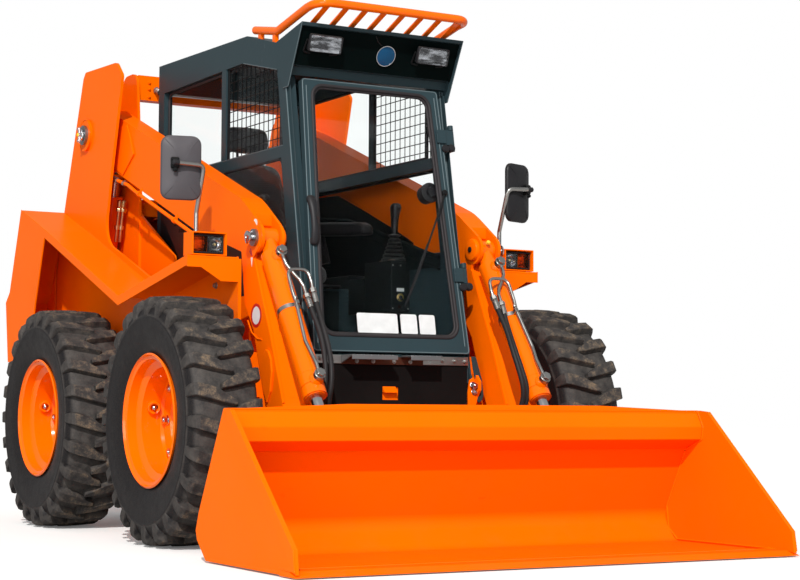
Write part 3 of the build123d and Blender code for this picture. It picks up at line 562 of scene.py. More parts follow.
def tyre_rubber():
    """Tyre rubber: dark smooth walls, greyer lugs and brown dust on the lug tops."""
    made, web, inputs = material("tyre_rubber", (0.012, 0.012, 0.014), 0.6, IOR=1.3)
    height = web.node("Attribute", attribute_name="tread").outputs["Fac"]
    place = web.place()
    mottle = web.noise(place, 26.0, 6.0, 0.68)
    fine = web.noise(place, 190.0, 3.0, 0.7)
    grey = web.blend(web.remap(mottle, 0.35, 0.7), (0.022, 0.021, 0.022), (0.070, 0.064, 0.060))
    base = web.blend(web.remap(height, 0.05, 0.35), (0.006, 0.006, 0.008), grey)
    grit = web.times(web.remap(mottle, 0.48, 0.66), web.remap(fine, 0.36, 0.6))
    tops = web.times(grit, web.remap(height, 0.72, 1.0), True)
    base = web.blend(web.times(tops, 0.75), base, (0.23, 0.16, 0.095))
    base = web.blend(web.times(web.remap(fine, 0.4, 0.8), 0.07), base, DUST_COLOUR)
    web.feed(inputs["Base Color"], base)
    web.feed(inputs["Roughness"], web.remap(web.plus(mottle, height), 0.3, 1.5, 0.46, 0.85))
    web.feed(inputs["Normal"], web.bump(web.plus(web.times(fine, 0.5), mottle), 0.35, 0.003))
    return made


def woven_cloth():
    """Seat cloth: a close weave with a soft sheen."""
    made, web, inputs = material("seat_cloth", (0.022, 0.023, 0.026), 0.85, Sheen_Weight=0.4)
    place = web.place()
    across, down = (web.node("TexWave", ("Vector", place), ("Scale", 190.0), ("Distortion", 0.6),
                             ("Detail", 1.0), bands_direction=way).outputs["Fac"] for way in "XY")
    weave = web.times(across, down)
    shade = web.plus(web.times(weave, 0.6), web.times(web.grouped(CLOUDY, Scale=6.0), 0.4))
    web.feed(inputs["Base Color"], web.blend(shade, (0.014, 0.015, 0.018), (0.05, 0.052, 0.058)))
    web.feed(inputs["Normal"], web.bump(weave, 0.4, 0.0008))
    return made


def blank_label(name, colour):
    """A printed label left blank, slightly scuffed."""
    made, web, inputs = material(name, colour, 0.4)
    scuff = web.grouped(CLOUDY, Scale=30.0)
    web.feed(inputs["Base Color"], web.blend(scuff, colour, shaded(colour, 0.88)))
    web.feed(inputs["Roughness"], web.remap(scuff, 0.0, 1.0, 0.3, 0.5))
    return made


def reflector_painted_reflections():
    """The pressed reflector of a lamp, coloured with painted reflections: a bright band across it and dark,
    broken edges.
    """
    made, web, inputs = material("lamp_reflector", (0.5, 0.5, 0.52), 0.1, Metallic=1.0)
    place = web.place()
    band = web.node("Mapping", ("Vector", place), ("Scale", (1.0, 1.0, 3.2)), ("Rotation", (0.0, 0.25, 0.1)))
    # The bright band and the dark patches are painted reflections in the metal's colour.
    painted_reflection = web.remap(web.noise(band.outputs[0], 19.0, 2.0), 0.42, 0.66)
    web.feed(inputs["Base Color"], web.blend(painted_reflection, (0.05, 0.055, 0.065), (0.70, 0.74, 0.80)))
    flutes = web.node("Mapping", ("Vector", place), ("Scale", (9.0, 1.0, 1.0)))
    web.feed(inputs["Normal"], web.bump(web.noise(flutes.outputs[0], 30.0, 1.0, 0.4), 0.5, 0.003))
    return made


BRIGHT, WORN_BRIGHT = (1.0, 0.148, 0.0), (0.5, 0.045, 0.0)
ORANGE = paint("orange_paint", BRIGHT, 0.3, 0.03, 0.03, 0.2, WORN_BRIGHT, index=1.1)
GLOSSY_ORANGE = paint("glossy_orange_paint", BRIGHT, 0.14, 0.5, 0.03, 0.15, WORN_BRIGHT, index=1.15)
SLATE = paint("slate_paint", (0.026, 0.047, 0.056), 0.34, 0.04, 0.05, 0.35, (0.12, 0.14, 0.15))
# A lighter copy of the slate paint for folded edges: a painted highlight along them.
SLATE_HIGHLIGHT = paint("slate_paint_painted_highlight", (0.10, 0.14, 0.155), 0.3, 0.2, 0.1, 0.2)
BLACK = paint("black_paint", (0.008, 0.009, 0.010), 0.4, 0.1, 0.3, 0.3, (0.06, 0.06, 0.06))
IRON = paint("engine_iron", (0.045, 0.048, 0.052), 0.6, 0.0, 0.6, 0.4, low_height=1.4)
RUBBER = tyre_rubber()
CLOTH = woven_cloth()
# The reflector's bright band and dark edges are painted reflections, not its own colour.
REFLECTOR = reflector_painted_reflections()
SEAL = moulded("seal_rubber", (0.022, 0.020, 0.022), 0.5, 0.25)
HOSE = moulded("hose_rubber", (0.014, 0.013, 0.014), 0.5, 0.3, 900.0, 0.3)
PLASTIC = moulded("black_plastic", (0.014, 0.014, 0.016), 0.42)
# Grey plastic for the right mirror's shell only: a painted sunlit copy of the left shell's black plastic.
SUNLIT_GREY_PLASTIC = moulded("painted_sunlit_grey_plastic", (0.060, 0.056, 0.062), 0.4)
# The disc's blue is a painted reflection of the sky.
PAINTED_SKY_REFLECTION = moulded("disc_painted_sky_reflection", (0.003, 0.050, 0.125), 0.14, 0.1, 200.0, 0.03)
MAT = moulded("floor_mat", (0.006, 0.005, 0.005), 0.6, 0.1, 300.0, 0.3, 1.15)
# Black plastic made darker still: partly its own black, partly painted shade of the recessed visor.
VISOR_BLACK_SHADE = moulded("visor_black_painted_shade", (0.0012, 0.0035, 0.0035), 0.6, 0.03, index=1.1)
CONSOLE = moulded("console_black", (0.007, 0.011, 0.012), 0.45, 0.12, index=1.25)
BELLOWS = moulded("bellows_rubber", (0.012, 0.014, 0.015), 0.34, 0.1, index=1.45)
EDGE_BROWN = moulded("worn_edge", (0.17, 0.115, 0.09), 0.5)
LINING = moulded("cab_lining", (0.004, 0.008, 0.009), 0.6, 0.1, index=1.15)
GREASE_CAP = moulded("yellow_cap", (0.75, 0.50, 0.03), 0.4, 0.1)
CHROME = metal("chrome", (0.60, 0.60, 0.62), 0.08, 0.03)
ZINC = metal("zinc_plate", (0.40, 0.40, 0.385), 0.26, 0.12)
YELLOW_ZINC = metal("yellow_zinc", (0.62, 0.48, 0.26), 0.28, 0.15)
STEEL = metal("worn_steel", (0.30, 0.31, 0.32), 0.34, 0.25)
MIRROR_GLASS = metal("mirror_glass", (0.80, 0.82, 0.83), 0.02, 0.05)
RUST = metal("rusty_steel", (0.13, 0.055, 0.035), 0.55, 0.3)
GOLD = metal("brass", (0.75, 0.56, 0.22), 0.25, 0.0)
WINDOW = glass("window_glass", (0.975, 0.995, 0.99), smear=0.0, index=1.08)
CLEAR = glass("clear_lens", (0.95, 0.96, 0.97), 0.02)
AMBER = glass("amber_lens", (0.90, 0.22, 0.0), 0.06, index=1.2)
RED_LENS = glass("red_lens", (0.65, 0.02, 0.01), 0.06)
LABEL = blank_label("blank_label", (0.72, 0.75, 0.76))
RED_RING = blank_label("red_ring", (0.55, 0.012, 0.010))

PAINTED = (ORANGE, "orange_paint")
GLOSSY = (GLOSSY_ORANGE, "orange_paint")
CAB_EDGE_HIGHLIGHT = (SLATE_HIGHLIGHT, "cab_paint")
MOULDED = (PLASTIC, "black_plastic")

# ---------------------------------------------------------------- finishes of the CAD nodes
NODE_FINISH = {
    SLATE: ("cab_frame", "cab_roof", "cab_door"),
    BLACK: ("side_guards", "side_louvres", "axle_housings", "belly_pan"),
    PLASTIC: ("controls", "turn_lamps", "work_lamps", "door_handle", "mirrors", "front_step"),
    WINDOW: ("cab_windows", "door_glass"),
    CLOTH: ("seat",),
    IRON: ("engine_block",),
    STEEL: ("tower_pins", "arm_pins"),
    GLOSSY_ORANGE: ("rim", "tilt_barrel", "lift_barrel", "roof_guard"),
    RUBBER: ("tyre",),
    CHROME: ("lift_rod", "tilt_rod"),
}
for name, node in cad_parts.items():
    chosen = ORANGE
    for finish, starts in NODE_FINISH.items():
        if name.startswith(starts):
            chosen = finish
    if not node.material_slots:
        node.data.materials.append(chosen)
    for material_slot in node.material_slots:
        material_slot.material = chosen

# ---------------------------------------------------------------- tyres
# Places across the tyre are measured outwards from its middle plane.
LUGS = 24
TYRE_R = 452.0
CARCASS = [(86, 229), (104, 229), (107, 238), (113, 250), (124, 275), (131, 310), (134.5, 345), (135, 362),
           (136.4, 368), (136.4, 373), (134.5, 378), (130, 388), (124, 402), (110, 417), (80, 423.5),
           (40, 426), (0, 427)]
TYRE_LINING = [(86, 245), (104, 266), (117, 345), (104, 395), (0, 410)]
# One row for each step along a lug: outside (across, radius), inside (across, radius), middle and
# half width round the tyre at the top, and half width at the foot.
LUG_STEPS = [
    ((136.2, 377), (120, 372), -2, 17, 24),
    ((136.0, 396), (112, 385), -2, 20, 28),
    ((134.0, 418), (100, 400), -2, 22.5, 30),
    ((127.0, 438), (96, 408), -1, 23.5, 31),
    ((112.0, 447), (86, 412), 3, 23.5, 31),
    ((48.0, 451.4), (48, 414), 20, 23, 31),
    ((8.0, 452.2), (8, 416), 38, 15, 23),
    ((-26.0, 452.2), (-24, 416), 50, 8, 17),
]
# Values of the tread attribute, which the rubber reads as height.
TREAD_TOP, TREAD_FLOOR, TREAD_SHOULDER = 1.0, 0.42, 0.3


def wrapped(across, radius, around):
    """A place on the tyre, from a distance across it, a radius and a distance round it."""
    angle = around / TYRE_R
    return Vector((across, -radius * math.sin(angle), radius * math.cos(angle))) * MM


def lug(side):
    rings = []
    for (out_x, out_r), (in_x, in_r), centre, half_top, half_foot in LUG_STEPS:
        rings.append([wrapped(side * in_x, in_r, centre - half_foot),
                      wrapped(side * out_x, out_r, centre - half_top),
                      wrapped(side * out_x, out_r, centre + half_top),
                      wrapped(side * in_x, in_r, centre + half_foot)])
    return face_out(stretch(rings), 1e-7)


def tyre():
    """A tyre about the X axis: a turned carcass and two staggered rows of stepped lugs."""
    def whole(half):
        return half + [(-across, radius) for across, radius in half[-2::-1]]
    body = ring(whole(CARCASS) + whole(TYRE_LINING)[::-1], Vector(), LEFT, 96)
    parts = []
    for side, shift in ((1, 0.0), (-1, 0.5)):
        first = round_edges(lug(side), 2.2, 1, 40)
        parts += [copy_of(first, Matrix.Rotation(math.tau * (i + shift) / LUGS, 4, "X")) for i in range(LUGS)]
        bpy.data.objects.remove(first)
    piece = join([body, smooth(join(parts), 25)])
    tread = piece.data.attributes.new("tread", "FLOAT", "POINT")
    for point, vertex in zip(tread.data, piece.data.vertices):
        radius = math.hypot(vertex.co.y, vertex.co.z) / MM
        across = abs(vertex.co.x) / MM
        if across > 133.5 and radius > 376:
            point.value = TREAD_SHOULDER
        elif radius > 444:
            point.value = TREAD_TOP
        else:
            point.value = TREAD_FLOOR if radius > 412 and across < 132 else 0.0
    return piece


def wheels():
    """The four tyres, with nuts, valve and hub cap on each wheel."""
    nuts = [bolt(Vector((-26, 166 * math.cos(angle), 166 * math.sin(angle))) * MM, LEFT, 27, 17)
            for angle in (math.tau * i / 8 for i in range(8))]
    cos, sin = math.cos(0.26), math.sin(0.26)
    valve = (Vector((22, 190 * cos, 190 * sin)) * MM, Vector((0.25, -cos, -sin)))
    cap = [(-60, 78), (-52, 84), (-34, 80), (-24, 66), (-20, 40), (-18, 0)]
    models = {
        "treaded_tyre": (tyre(), RUBBER, "tyre_rubber"),
        "wheel_nuts": (join(nuts), CHROME),
        "hub_cap": (solid(cap, Vector(), LEFT, 48), *GLOSSY),
        "valve_guard": (ring([(-14, 15), (-14, 27), (16, 24), (19, 21), (16, 15)], *valve, 28), *GLOSSY),
        "valve": (solid([(-10, 7), (18, 7), (20, 4), (34, 4), (35, 0)], *valve, 16), CHROME),
        "valve_hole": (solid([(-8, 15), (-6, 15)], *valve, 20), BLACK),
    }
    for end, y in (("front", 0.0), ("rear", WHEELBASE)):
        for hand, side in HANDS.items():
            move = Matrix.Translation(at(side * WHEEL_X, y, AXLE_Z)) @ Matrix.Diagonal((side, 1, 1, 1))
            for kind, (model, *finish) in models.items():
                made = show(f"{kind}_{end}_{hand}", copy_of(model, move), *finish, body=f"wheel_{end}_{hand}")
                if kind == "treaded_tyre":
                    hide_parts(f"tyre_{end}_{hand}")
    for model, *_ in models.values():
        bpy.data.objects.remove(model)


wheels()

# ---------------------------------------------------------------- tilt cylinders' pipes and hoses
KNEE = (-95.0, 1125.0)
TILT_EYE = (-576.0, 412.0)
TILT_Y, TILT_Z = ((eye - knee) / math.dist(KNEE, TILT_EYE) for knee, eye in zip(KNEE, TILT_EYE))
TILT_ALONG, TILT_AHEAD = Vector((0, TILT_Y, TILT_Z)), Vector((0, TILT_Z, -TILT_Y))
TILT_X = -474.0


def on_tilt(x, along, ahead):
    """A place by the right tilt cylinder: x, mm down from the knee pin and mm in front of its axis."""
    return at(x, KNEE[0] + TILT_Y * along + TILT_Z * ahead, KNEE[1] + TILT_Z * along - TILT_Y * ahead)


def down_tilt(*rows):
    return [on_tilt(*row) for row in rows]


def ferrule(start, end, radius):
    """A hose's crimped end with its hexagon, from the pipe towards the hose."""
    axis = (end - start).normalized()
    length = (end - start).length / MM
    nut = hexagon(start, axis, radius * 2.6, length * 0.3)
    rows = [(0, 0), (0, radius)]
    for i in range(4):
        along = length * (0.1 + 0.16 * i)
        rows += [(along, radius * 1.28), (along + length * 0.12, radius * 1.28),
                 (along + length * 0.14, radius * 1.16)]
    rows += [(length * 0.75, radius * 1.1), (length * 0.75, 0)]
    return join([nut, solid(rows, start + axis * length * 0.3 * MM, axis, 20)])


def banjo(along):
    """A banjo bolt standing on a cylinder's oil port."""
    base = on_tilt(TILT_X, along, 58)
    return join([solid([(0, 19), (2, 21), (15, 21), (17, 19)], base, TILT_AHEAD, 28),
                 hexagon(base + TILT_AHEAD * 17 * MM, TILT_AHEAD, 30, 11)])


def tilt_hydraulics():
    """Pipes, hoses, clips and collars of the tilt cylinders, drawn on the right one."""
    x = TILT_X
    low_pipe = down_tilt((x, 112, 66), (x, 150, 68), (-470, 172, 66), (-444, 214, 60), (-430, 232, 58),
                         (-420, 262, 56), (-419, 300, 54))
    high_pipe = down_tilt((x, 657, 68), (x + 2, 610, 66), (-474, 568, 60), (-482, 506, 56), (-472, 336, 58),
                          (-476, 290, 62), (-476, 196, 70), (-392, 196, 70), (-387, 250, 62), (-389, 276, 58))
    pipes = [tube(low_pipe, 6.5, 30), tube(high_pipe, 6.5, 34),
             ferrule(*down_tilt((-419, 298, 54), (-415, 352, 52)), 9.5),
             ferrule(*down_tilt((-389, 274, 58), (-390, 332, 56)), 9.5), banjo(112), banjo(657)]
    hoses = [
        soft_tube(down_tilt((-415, 345, 52), (-412, 380, 50), (-407, 440, 50), (-408, 520, 44),
                            (-416, 600, 30), (-426, 660, 10), (-430, 700, -25), (-424, 720, -60)), 9.5),
        soft_tube(down_tilt((-390, 325, 56), (-390, 360, 56), (-393, 430, 58), (-391, 520, 50),
                            (-396, 600, 38), (-406, 665, 15), (-410, 705, -25), (-404, 725, -60)), 9.5)]
    clip = down_tilt((-478, 329, 44), (-462, 329, 44), (-462, 347, 44), (-478, 347, 44))
    band = [ring([(-8, 43.4), (-8, 45.4), (8, 45.4), (8, 43.4)], on_tilt(x, 338, 0), TILT_ALONG),
            extruded(clip, TILT_AHEAD * 22, 3), bolt(on_tilt(-470, 322, 60), -TILT_ALONG, 11, 7)]
    collars = [
        ring([(-1.4, 42.5), (0, 43.9), (1.4, 42.5)], on_tilt(x, 620, 0), TILT_ALONG, 64),
        ring([(-3, 22.4), (-3, 34), (0, 37), (3, 37), (3, 22.4)], on_tilt(x, 707, 0), TILT_ALONG)]
    collars += [solid([(40, 27), (48, 24), (54, 19)], on_tilt(x, along, 0), TILT_AHEAD, 32)
                for along in (112, 657)]
    for name, pieces, *finish in (("tilt_pipes", pipes, ZINC), ("tilt_hoses", hoses, HOSE),
                                  ("pipe_band", band, ZINC), ("tilt_seams", collars, *GLOSSY)):
        show_pair(name, pieces, *finish, body="tilt_barrel_{hand}")


tilt_hydraulics()

# ---------------------------------------------------------------- cab door
LEAN = math.radians(10.4)
DOOR_FOOT = (-214.0, 710.0)
DOOR_OUT = Vector((0, -math.cos(LEAN), math.sin(LEAN)))
DOOR_UP = Vector((0, math.sin(LEAN), math.cos(LEAN)))


def on_door(x, up, out=0.0):
    """A place on the leaning door: x, mm up its face and mm out in front of it."""
    return at(x, DOOR_FOOT[0] + up * math.sin(LEAN) - out * math.cos(LEAN),
              DOOR_FOOT[1] + up * math.cos(LEAN) + out * math.sin(LEAN))


def door_loop(inset, corner, up_shift=20.0, out=0.0, steps=7):
    """A closed loop round the door's opening, inset from the door's edge, with round corners."""
    bottom, top, height = 338.0 - inset, 300.0 - inset, 1058.0
    corners = [Vector((-bottom, inset)), Vector((bottom, inset)), Vector((top, height - inset)),
               Vector((-top, height - inset))]
    loop = []
    for i, place in enumerate(corners):
        back = (corners[i - 1] - place).normalized()
        ahead = (corners[(i + 1) % 4] - place).normalized()
        half = back.angle(ahead) / 2
        reach = corner / math.tan(half)
        centre = place + (back + ahead).normalized() * corner / math.sin(half)
        start = place + back * reach - centre
        end = place + ahead * reach - centre
        for k in range(steps + 1):
            spot = centre + start.slerp(end, k / steps).normalized() * corner
            loop.append(on_door(spot.x, spot.y + up_shift, out))
    return loop


def cab_door_details():
    """The door's seals, folded edges, blank labels, handle and lock."""
    show("door_seal", [closed_tube(door_loop(42, 50, out=-2), 7), closed_tube(door_loop(50, 44, out=-9), 6)],
         SEAL, body="cab_door")
    # The door's folds are in the lighter slate, a painted highlight along its edges.
    show("door_edge_fold", closed_tube(door_loop(3, 12, up_shift=0.0, out=-1), 2.6), *CAB_EDGE_HIGHLIGHT,
         body="cab_door")
    show("door_fold", [tube([on_door(side * 318, 30, 0.5), on_door(side * 283, 1030, 0.5)], 2.2)
                       for side in (1, -1)], *CAB_EDGE_HIGHLIGHT, body="cab_door")
    labels = []
    for low, high in ((-140, 35), (48, 120), (130, 200)):
        rows = rounded((high - low) / 2, 38.5, 7, 4, first=2)
        labels.append(extruded([on_door((low + high) / 2 + u, 113.5 + v, -11.5) for u, v in rows],
                               DOOR_OUT * 0.6, 0))
    show("blank_labels", labels, LABEL, body="cab_door")
    low, high, x = 430.0, 562.0, -304.0
    shape = ((-1, -0.9), (1, -0.9), (1.2, 0.2), (0, 1), (-1.2, 0.2))
    sizes = ((low - 32, 11, 8), (low - 16, 15, 14), (low + 12, 15, 23), (low + 40, 14, 26),
             (high - 46, 14, 26), (high - 14, 16, 22), (high + 10, 19, 14), (high + 32, 17, 6))
    grip = stretch([[on_door(x + a * w, up, out + b * w * 0.8) for a, b in shape] for up, w, out in sizes])
    finish_modifier(grip, "SUBSURF", levels=2, render_levels=2)
    feet = [solid([(0, 17), (5, 17), (8, 14), (9, 0)], on_door(x, up, 0.6), DOOR_OUT, 28)
            for up in (low - 14, high + 14)]
    show("handle_grip", [smooth(grip, 60), *feet], *MOULDED, body="cab_door", node="door_handle")
    show("handle_lock", solid([(0, 10), (4, 10), (6, 8), (6, 3), (4, 2.4)],
                              on_door(x + 3, high + 16, 8), DOOR_OUT), CHROME, body="cab_door")


def wiper():
    """The wiper: its motor inside, its spindle on the frame and its arm and blade on the glass."""
    pivot, top, low = on_door(288, 640, 7), on_door(190, 430, 2), on_door(62, 176, 2)
    bend = top.lerp(low, 0.42) + DOOR_OUT * 0.016
    side_way = (low - top).cross(DOOR_OUT).normalized() * 0.0022
    parts = [tube([pivot, pivot.lerp(bend, 0.16) + DOOR_OUT * 0.008, bend], 3.8, 14),
             solid([(-8, 12), (4, 12), (9, 8)], pivot, DOOR_OUT),
             extruded([top - side_way, top + side_way, low + side_way, low - side_way], DOOR_OUT * 9, 0)]
    for start, end, lift in ((0.04, 0.96, 0.017), (0.04, 0.4, 0.012), (0.6, 0.96, 0.012)):
        bow = [top.lerp(low, part) + DOOR_OUT * height
               for part, height in ((start, 0.008), ((start + end) / 2, lift), (end, 0.008))]
        parts.append(tube(bow, 3.0, 60))
    show("wiper", parts, BLACK, body="cab_door")
    motor = [(-84, 30), (-78, 36), (-48, 36), (-46, 40), (-34, 40), (-30, 22), (-20, 18), (-18, 0)]
    inside = pivot - DOOR_OUT * 0.012 + Vector((-0.036, 0, 0)) + DOOR_UP * 0.012
    show("wiper_motor", solid(motor, inside, DOOR_OUT, 32), PLASTIC, body="cab_door")


def hinge_blocks():
    """Plates, barrels and knurled knobs of the door's two hinges."""
    for number, up in enumerate((870, 310)):
        x = 300 + 38 * (1058 - up) / 1058
        corners = [on_door(x + dx, up + dy, 0.5) for dx, dy in ((-30, -27), (12, -27), (12, 27), (-30, 27))]
        leaf = [extruded(corners, DOOR_OUT * 9, 2.5)]
        leaf += [solid([(0, 4.5), (1.5, 4)], on_door(x - 24, up + rise, 9.5), DOOR_OUT, 12)
                 for rise in (-16, 0, 16)]
        show(f"door_hinge_plate_{number}", leaf, SLATE, body="cab_door")
        show(f"hinge_knobs_{number}", [
            solid([(0, 7), (6, 7), (7, 15), (20, 16), (26, 12), (27, 0)], on_door(*spot, -12), DOOR_OUT)
            for spot in ((x + 6, up - 48), (x + 34, up - 44))], PLASTIC)


cab_door_details()
wiper()
hinge_blocks()


# ---------------------------------------------------------------- cab
def pillar_y(z):
    """Where the front pillars' face stands at a height."""
    return DOOR_FOOT[0] + (z - DOOR_FOOT[1]) * math.tan(LEAN) + 38.0


def pillar_folds():
    """Folded edges up the front pillars, and the rolled edges of the roof's cheeks and rails, in a lighter slate
    that is a painted highlight.
    """
    folds = [tube(in_side(x, [(pillar_y(660) + back, 660), (pillar_y(1758) + back, 1758)]), 2.6)
             for x, back in ((349, 1), (336, -1.5))]
    folds += [tube(in_side(354, [(-132, 1940), (-17, 1714), (23, 1714)]), 1.6, 4),
              tube(in_side(349.4, [(90, 1795.5), (389, 1867)]), 1.6),
              tube(in_side(349.4, [(pillar_y(1495) + 62, 1495), (1190, 1495)]), 1.8)]
    show("pillar_folds", folds, *CAB_EDGE_HIGHLIGHT, twin=True)
    channel = [(pillar_y(700) - 1.5, 700), (pillar_y(1740) - 1.5, 1740), (pillar_y(1740) - 22, 1740),
               (pillar_y(700) - 22, 700)]
    show("pillar_channels", side_plate(channel, 341, 344, 1.0), SLATE, "cab_paint", twin=True)


# The side opening: its front lower corner, its sill, the bend of its top edge and its top.
OPENING_FRONT, OPENING_SILL = (44, 95), 1495
OPENING_BEND, OPENING_TOP = 389, 1866


def side_mesh():
    """The welded wire mesh in the front half of each side opening, with its frame."""
    corners = [(545, 1495.6), (545, 1865.6), (389, 1865.6), (95.3, 1795.6), (44.3, 1495.6)]
    bars = [tube(in_side(340, corners + corners[:1]), 3.6),
            side_plate([*corners[:2], (531, 1865.6), (531, 1495.6)], 337, 343, 1.0)]

    def top_at(y):
        if y >= OPENING_BEND:
            return OPENING_TOP - 2
        return 1796 + (y - OPENING_FRONT[1]) * (OPENING_TOP - 1796) / 294 - 2

    def front_at(z):
        if z <= 1795:
            return OPENING_FRONT[0] + (z - OPENING_SILL) * 51 / 301
        return OPENING_FRONT[1] + (z - 1796) * 294 / 70
    for y in range(92, 493, 40):
        bars.append(tube(in_side(342, [(y, 1497), (y, top_at(y))]), 2.0, rounds=1))
    for z in range(1530, 1851, 40):
        bars.append(tube(in_side(338.5, [(front_at(z) + 2, z), (540, z)]), 2.0, rounds=1))
    show("side_mesh", bars, BLACK, "black_paint", node="side_guards", twin=True)


def window_seals():
    """Rubber strips round the side panes and the posts' inner edges."""
    upper = [(92, 1500), (1184, 1500), (1184, 1861), (389, 1861), (92, 1792)]
    lower = [(-12, 1113), (1089, 1113), (1191, 1284), (1191, 1447), (44, 1447)]
    show("window_seals", [tube(in_side(x, rows + rows[:1]), 6.5, 40, rounds=2)
                          for rows, x in ((upper, 326), (lower, 342.5))], SEAL, twin=True)


def visor():
    """The black recessed face of the visor, its lamps and the round disc, whose blue is a painted reflection of
    the sky.
    """
    low, high = Vector((0, -43, 1793)), Vector((0, -112, 1929))
    up = (high - low).normalized()
    out = Vector((0, -up.z, up.y))

    def spot(x, distance, proud):
        place = low + up * distance + out * proud
        return at(x, place.y, place.z)

    face = [spot(-349, 1, 0.6), spot(349, 1, 0.6), spot(349, 152, 0.6), spot(-349, 152, 0.6)]
    # The visor face's near-black is partly painted shade of the recess.
    show("visor_face", extruded(face, out * 1.2, 0), VISOR_BLACK_SHADE, "black_paint")
    base, tall, half = 68, 66, 70.5
    for name, centre in (("right", -248.5), ("left", 223.5)):
        def frame_ring(size, proud, tilt=0.0):
            """A loop of the lamp's section. tilt brings its lower edge forwards."""
            return [spot(centre + u, base + tall / 2 + v, proud + tilt * (v < 0))
                    for u, v in rounded(half * size, tall / 2 * size, 6, 3, first=2)]

        box = stretch([frame_ring(*row) for row in ((0.72, 1), (0.86, 12), (0.98, 22), (1.0, 34, 8),
                                                    (0.93, 36, 8), (0.90, 30, 8))])
        show(f"work_lamp_{name}", smooth(round_edges(box, 1.2, 2, 30), 30), *MOULDED, node="work_lamps")
        bowl = stretch([frame_ring(0.90, 31, 8), frame_ring(0.55, 14, 2), frame_ring(0.3, 10)])
        show(f"lamp_bowl_{name}", smooth(bowl, 60), REFLECTOR)
        bulb = solid([(0, 9), (8, 9), (12, 5), (14, 0)], spot(centre, base + 34, 18), out, 16)
        hood = tube([spot(centre - 26, base + 30, 26), spot(centre + 26, base + 38, 26)], 4.0)
        show(f"lamp_bulb_{name}", [bulb, hood], CHROME)
        show(f"lamp_lens_{name}", extruded(frame_ring(0.895, 33, 8), out * 2.2, 0.6), CLEAR)
        show(f"lamp_bracket_{name}", [
            tube([spot(centre + side * (half + away), base + rise, proud) for away, rise, proud in (
                (1, 40, 18), (1, -12, 4), (-30, -16, 3))], 3.4, 10) for side in (-1, 1)], BLACK)
        # Zinc bars across the lamp are a painted highlight: they stand in for the bright streak across its lens.
        painted_highlight_bars = [tube([spot(centre - 30, base + 22, 28), spot(centre + 34, base + 30, 28)], 5.0)]
        painted_highlight_bars += [tube([spot(centre + side * half * 0.8, base + rise, 27) for side in (-1, 1)], 2.2)
                    for rise in (10, 52)]
        show(f"lamp_painted_highlight_{name}", painted_highlight_bars, ZINC)
    # The round disc's blue is a painted reflection of the sky.
    show("round_plate", solid([(0, 39), (3, 39), (4, 37)], spot(34, 74, 2.4), out, 48),
         PAINTED_SKY_REFLECTION)
    edge = [(0, 38.4), (0, 41), (5.4, 41), (5.4, 38.4)]
    show("round_plate_edge", ring(edge, spot(34, 74, 2.2), out), CHROME)
    lead = [spot(10, 112, 2), spot(-4, 118, 4), spot(-16, 130, 4), spot(-26, 146, 3)]
    show("disc_lead", soft_tube(lead, 1.6), HOSE)


pillar_folds()
side_mesh()
window_seals()
visor()


# ---------------------------------------------------------------- lamps and mirrors
def turn_lamps():
    """Orange boxes on the fenders with an amber half, a clear half and a round reflector."""
    def section(y, grow, low=(612, 1056), high=(750, 1142)):
        left, bottom, right, top = low[0] + grow, low[1] + grow, high[0] - grow, high[1] - grow
        return places((left, y, bottom), (right, y, bottom), (right, y, top), (left, y, top))

    box = round_edges(stretch([section(40, 0), section(-44, 0), section(-44, 5), section(30, 5)]), 2.0)
    shell = round_edges(stretch([section(y, grow, (620, 1065), (742, 1133)) for y, grow in (
        (28, 4), (-24, 0), (-29, 0), (-29, 5), (-8, 7))]), 1.5)
    bowl = [(0, 27), (-4, 26), (-16, 16), (-20, 4), (-20, 0), (-22, 0), (-22, 6), (-18, 18), (-4, 28),
            (0, 29)]
    bulb = [(-20, 5), (-10, 6), (-5, 4), (-4, 0)]
    middle_at = at(650, -24, 1099)
    show_pair("turn_lamp_box", [box, slab((640, -20, 1050), (730, 20, 1058), 1.5)], *PAINTED, drawn="left")
    show_pair("turn_lamp_frame", [shell, slab((678, -26, 1068), (684, -4, 1130), 1.0)], PLASTIC,
              node="turn_lamps", drawn="left")
    for name, piece, finish in (
            ("bowl", ring(bowl, middle_at, AHEAD, 40, closed=False), REFLECTOR),
            ("bulb", solid(bulb, middle_at, AHEAD, 16), GOLD),
            ("clear_lens", slab((626, -28.5, 1071), (678, -26, 1127), 0.8), CLEAR),
            ("amber_lens", slab((684, -30, 1071), (736, -25, 1127), 2.0), AMBER),
            ("amber_back", slab((685, -10, 1072), (735, -8, 1126), 0.8), REFLECTOR)):
        show_pair("turn_lamp_" + name, piece, finish, drawn="left")


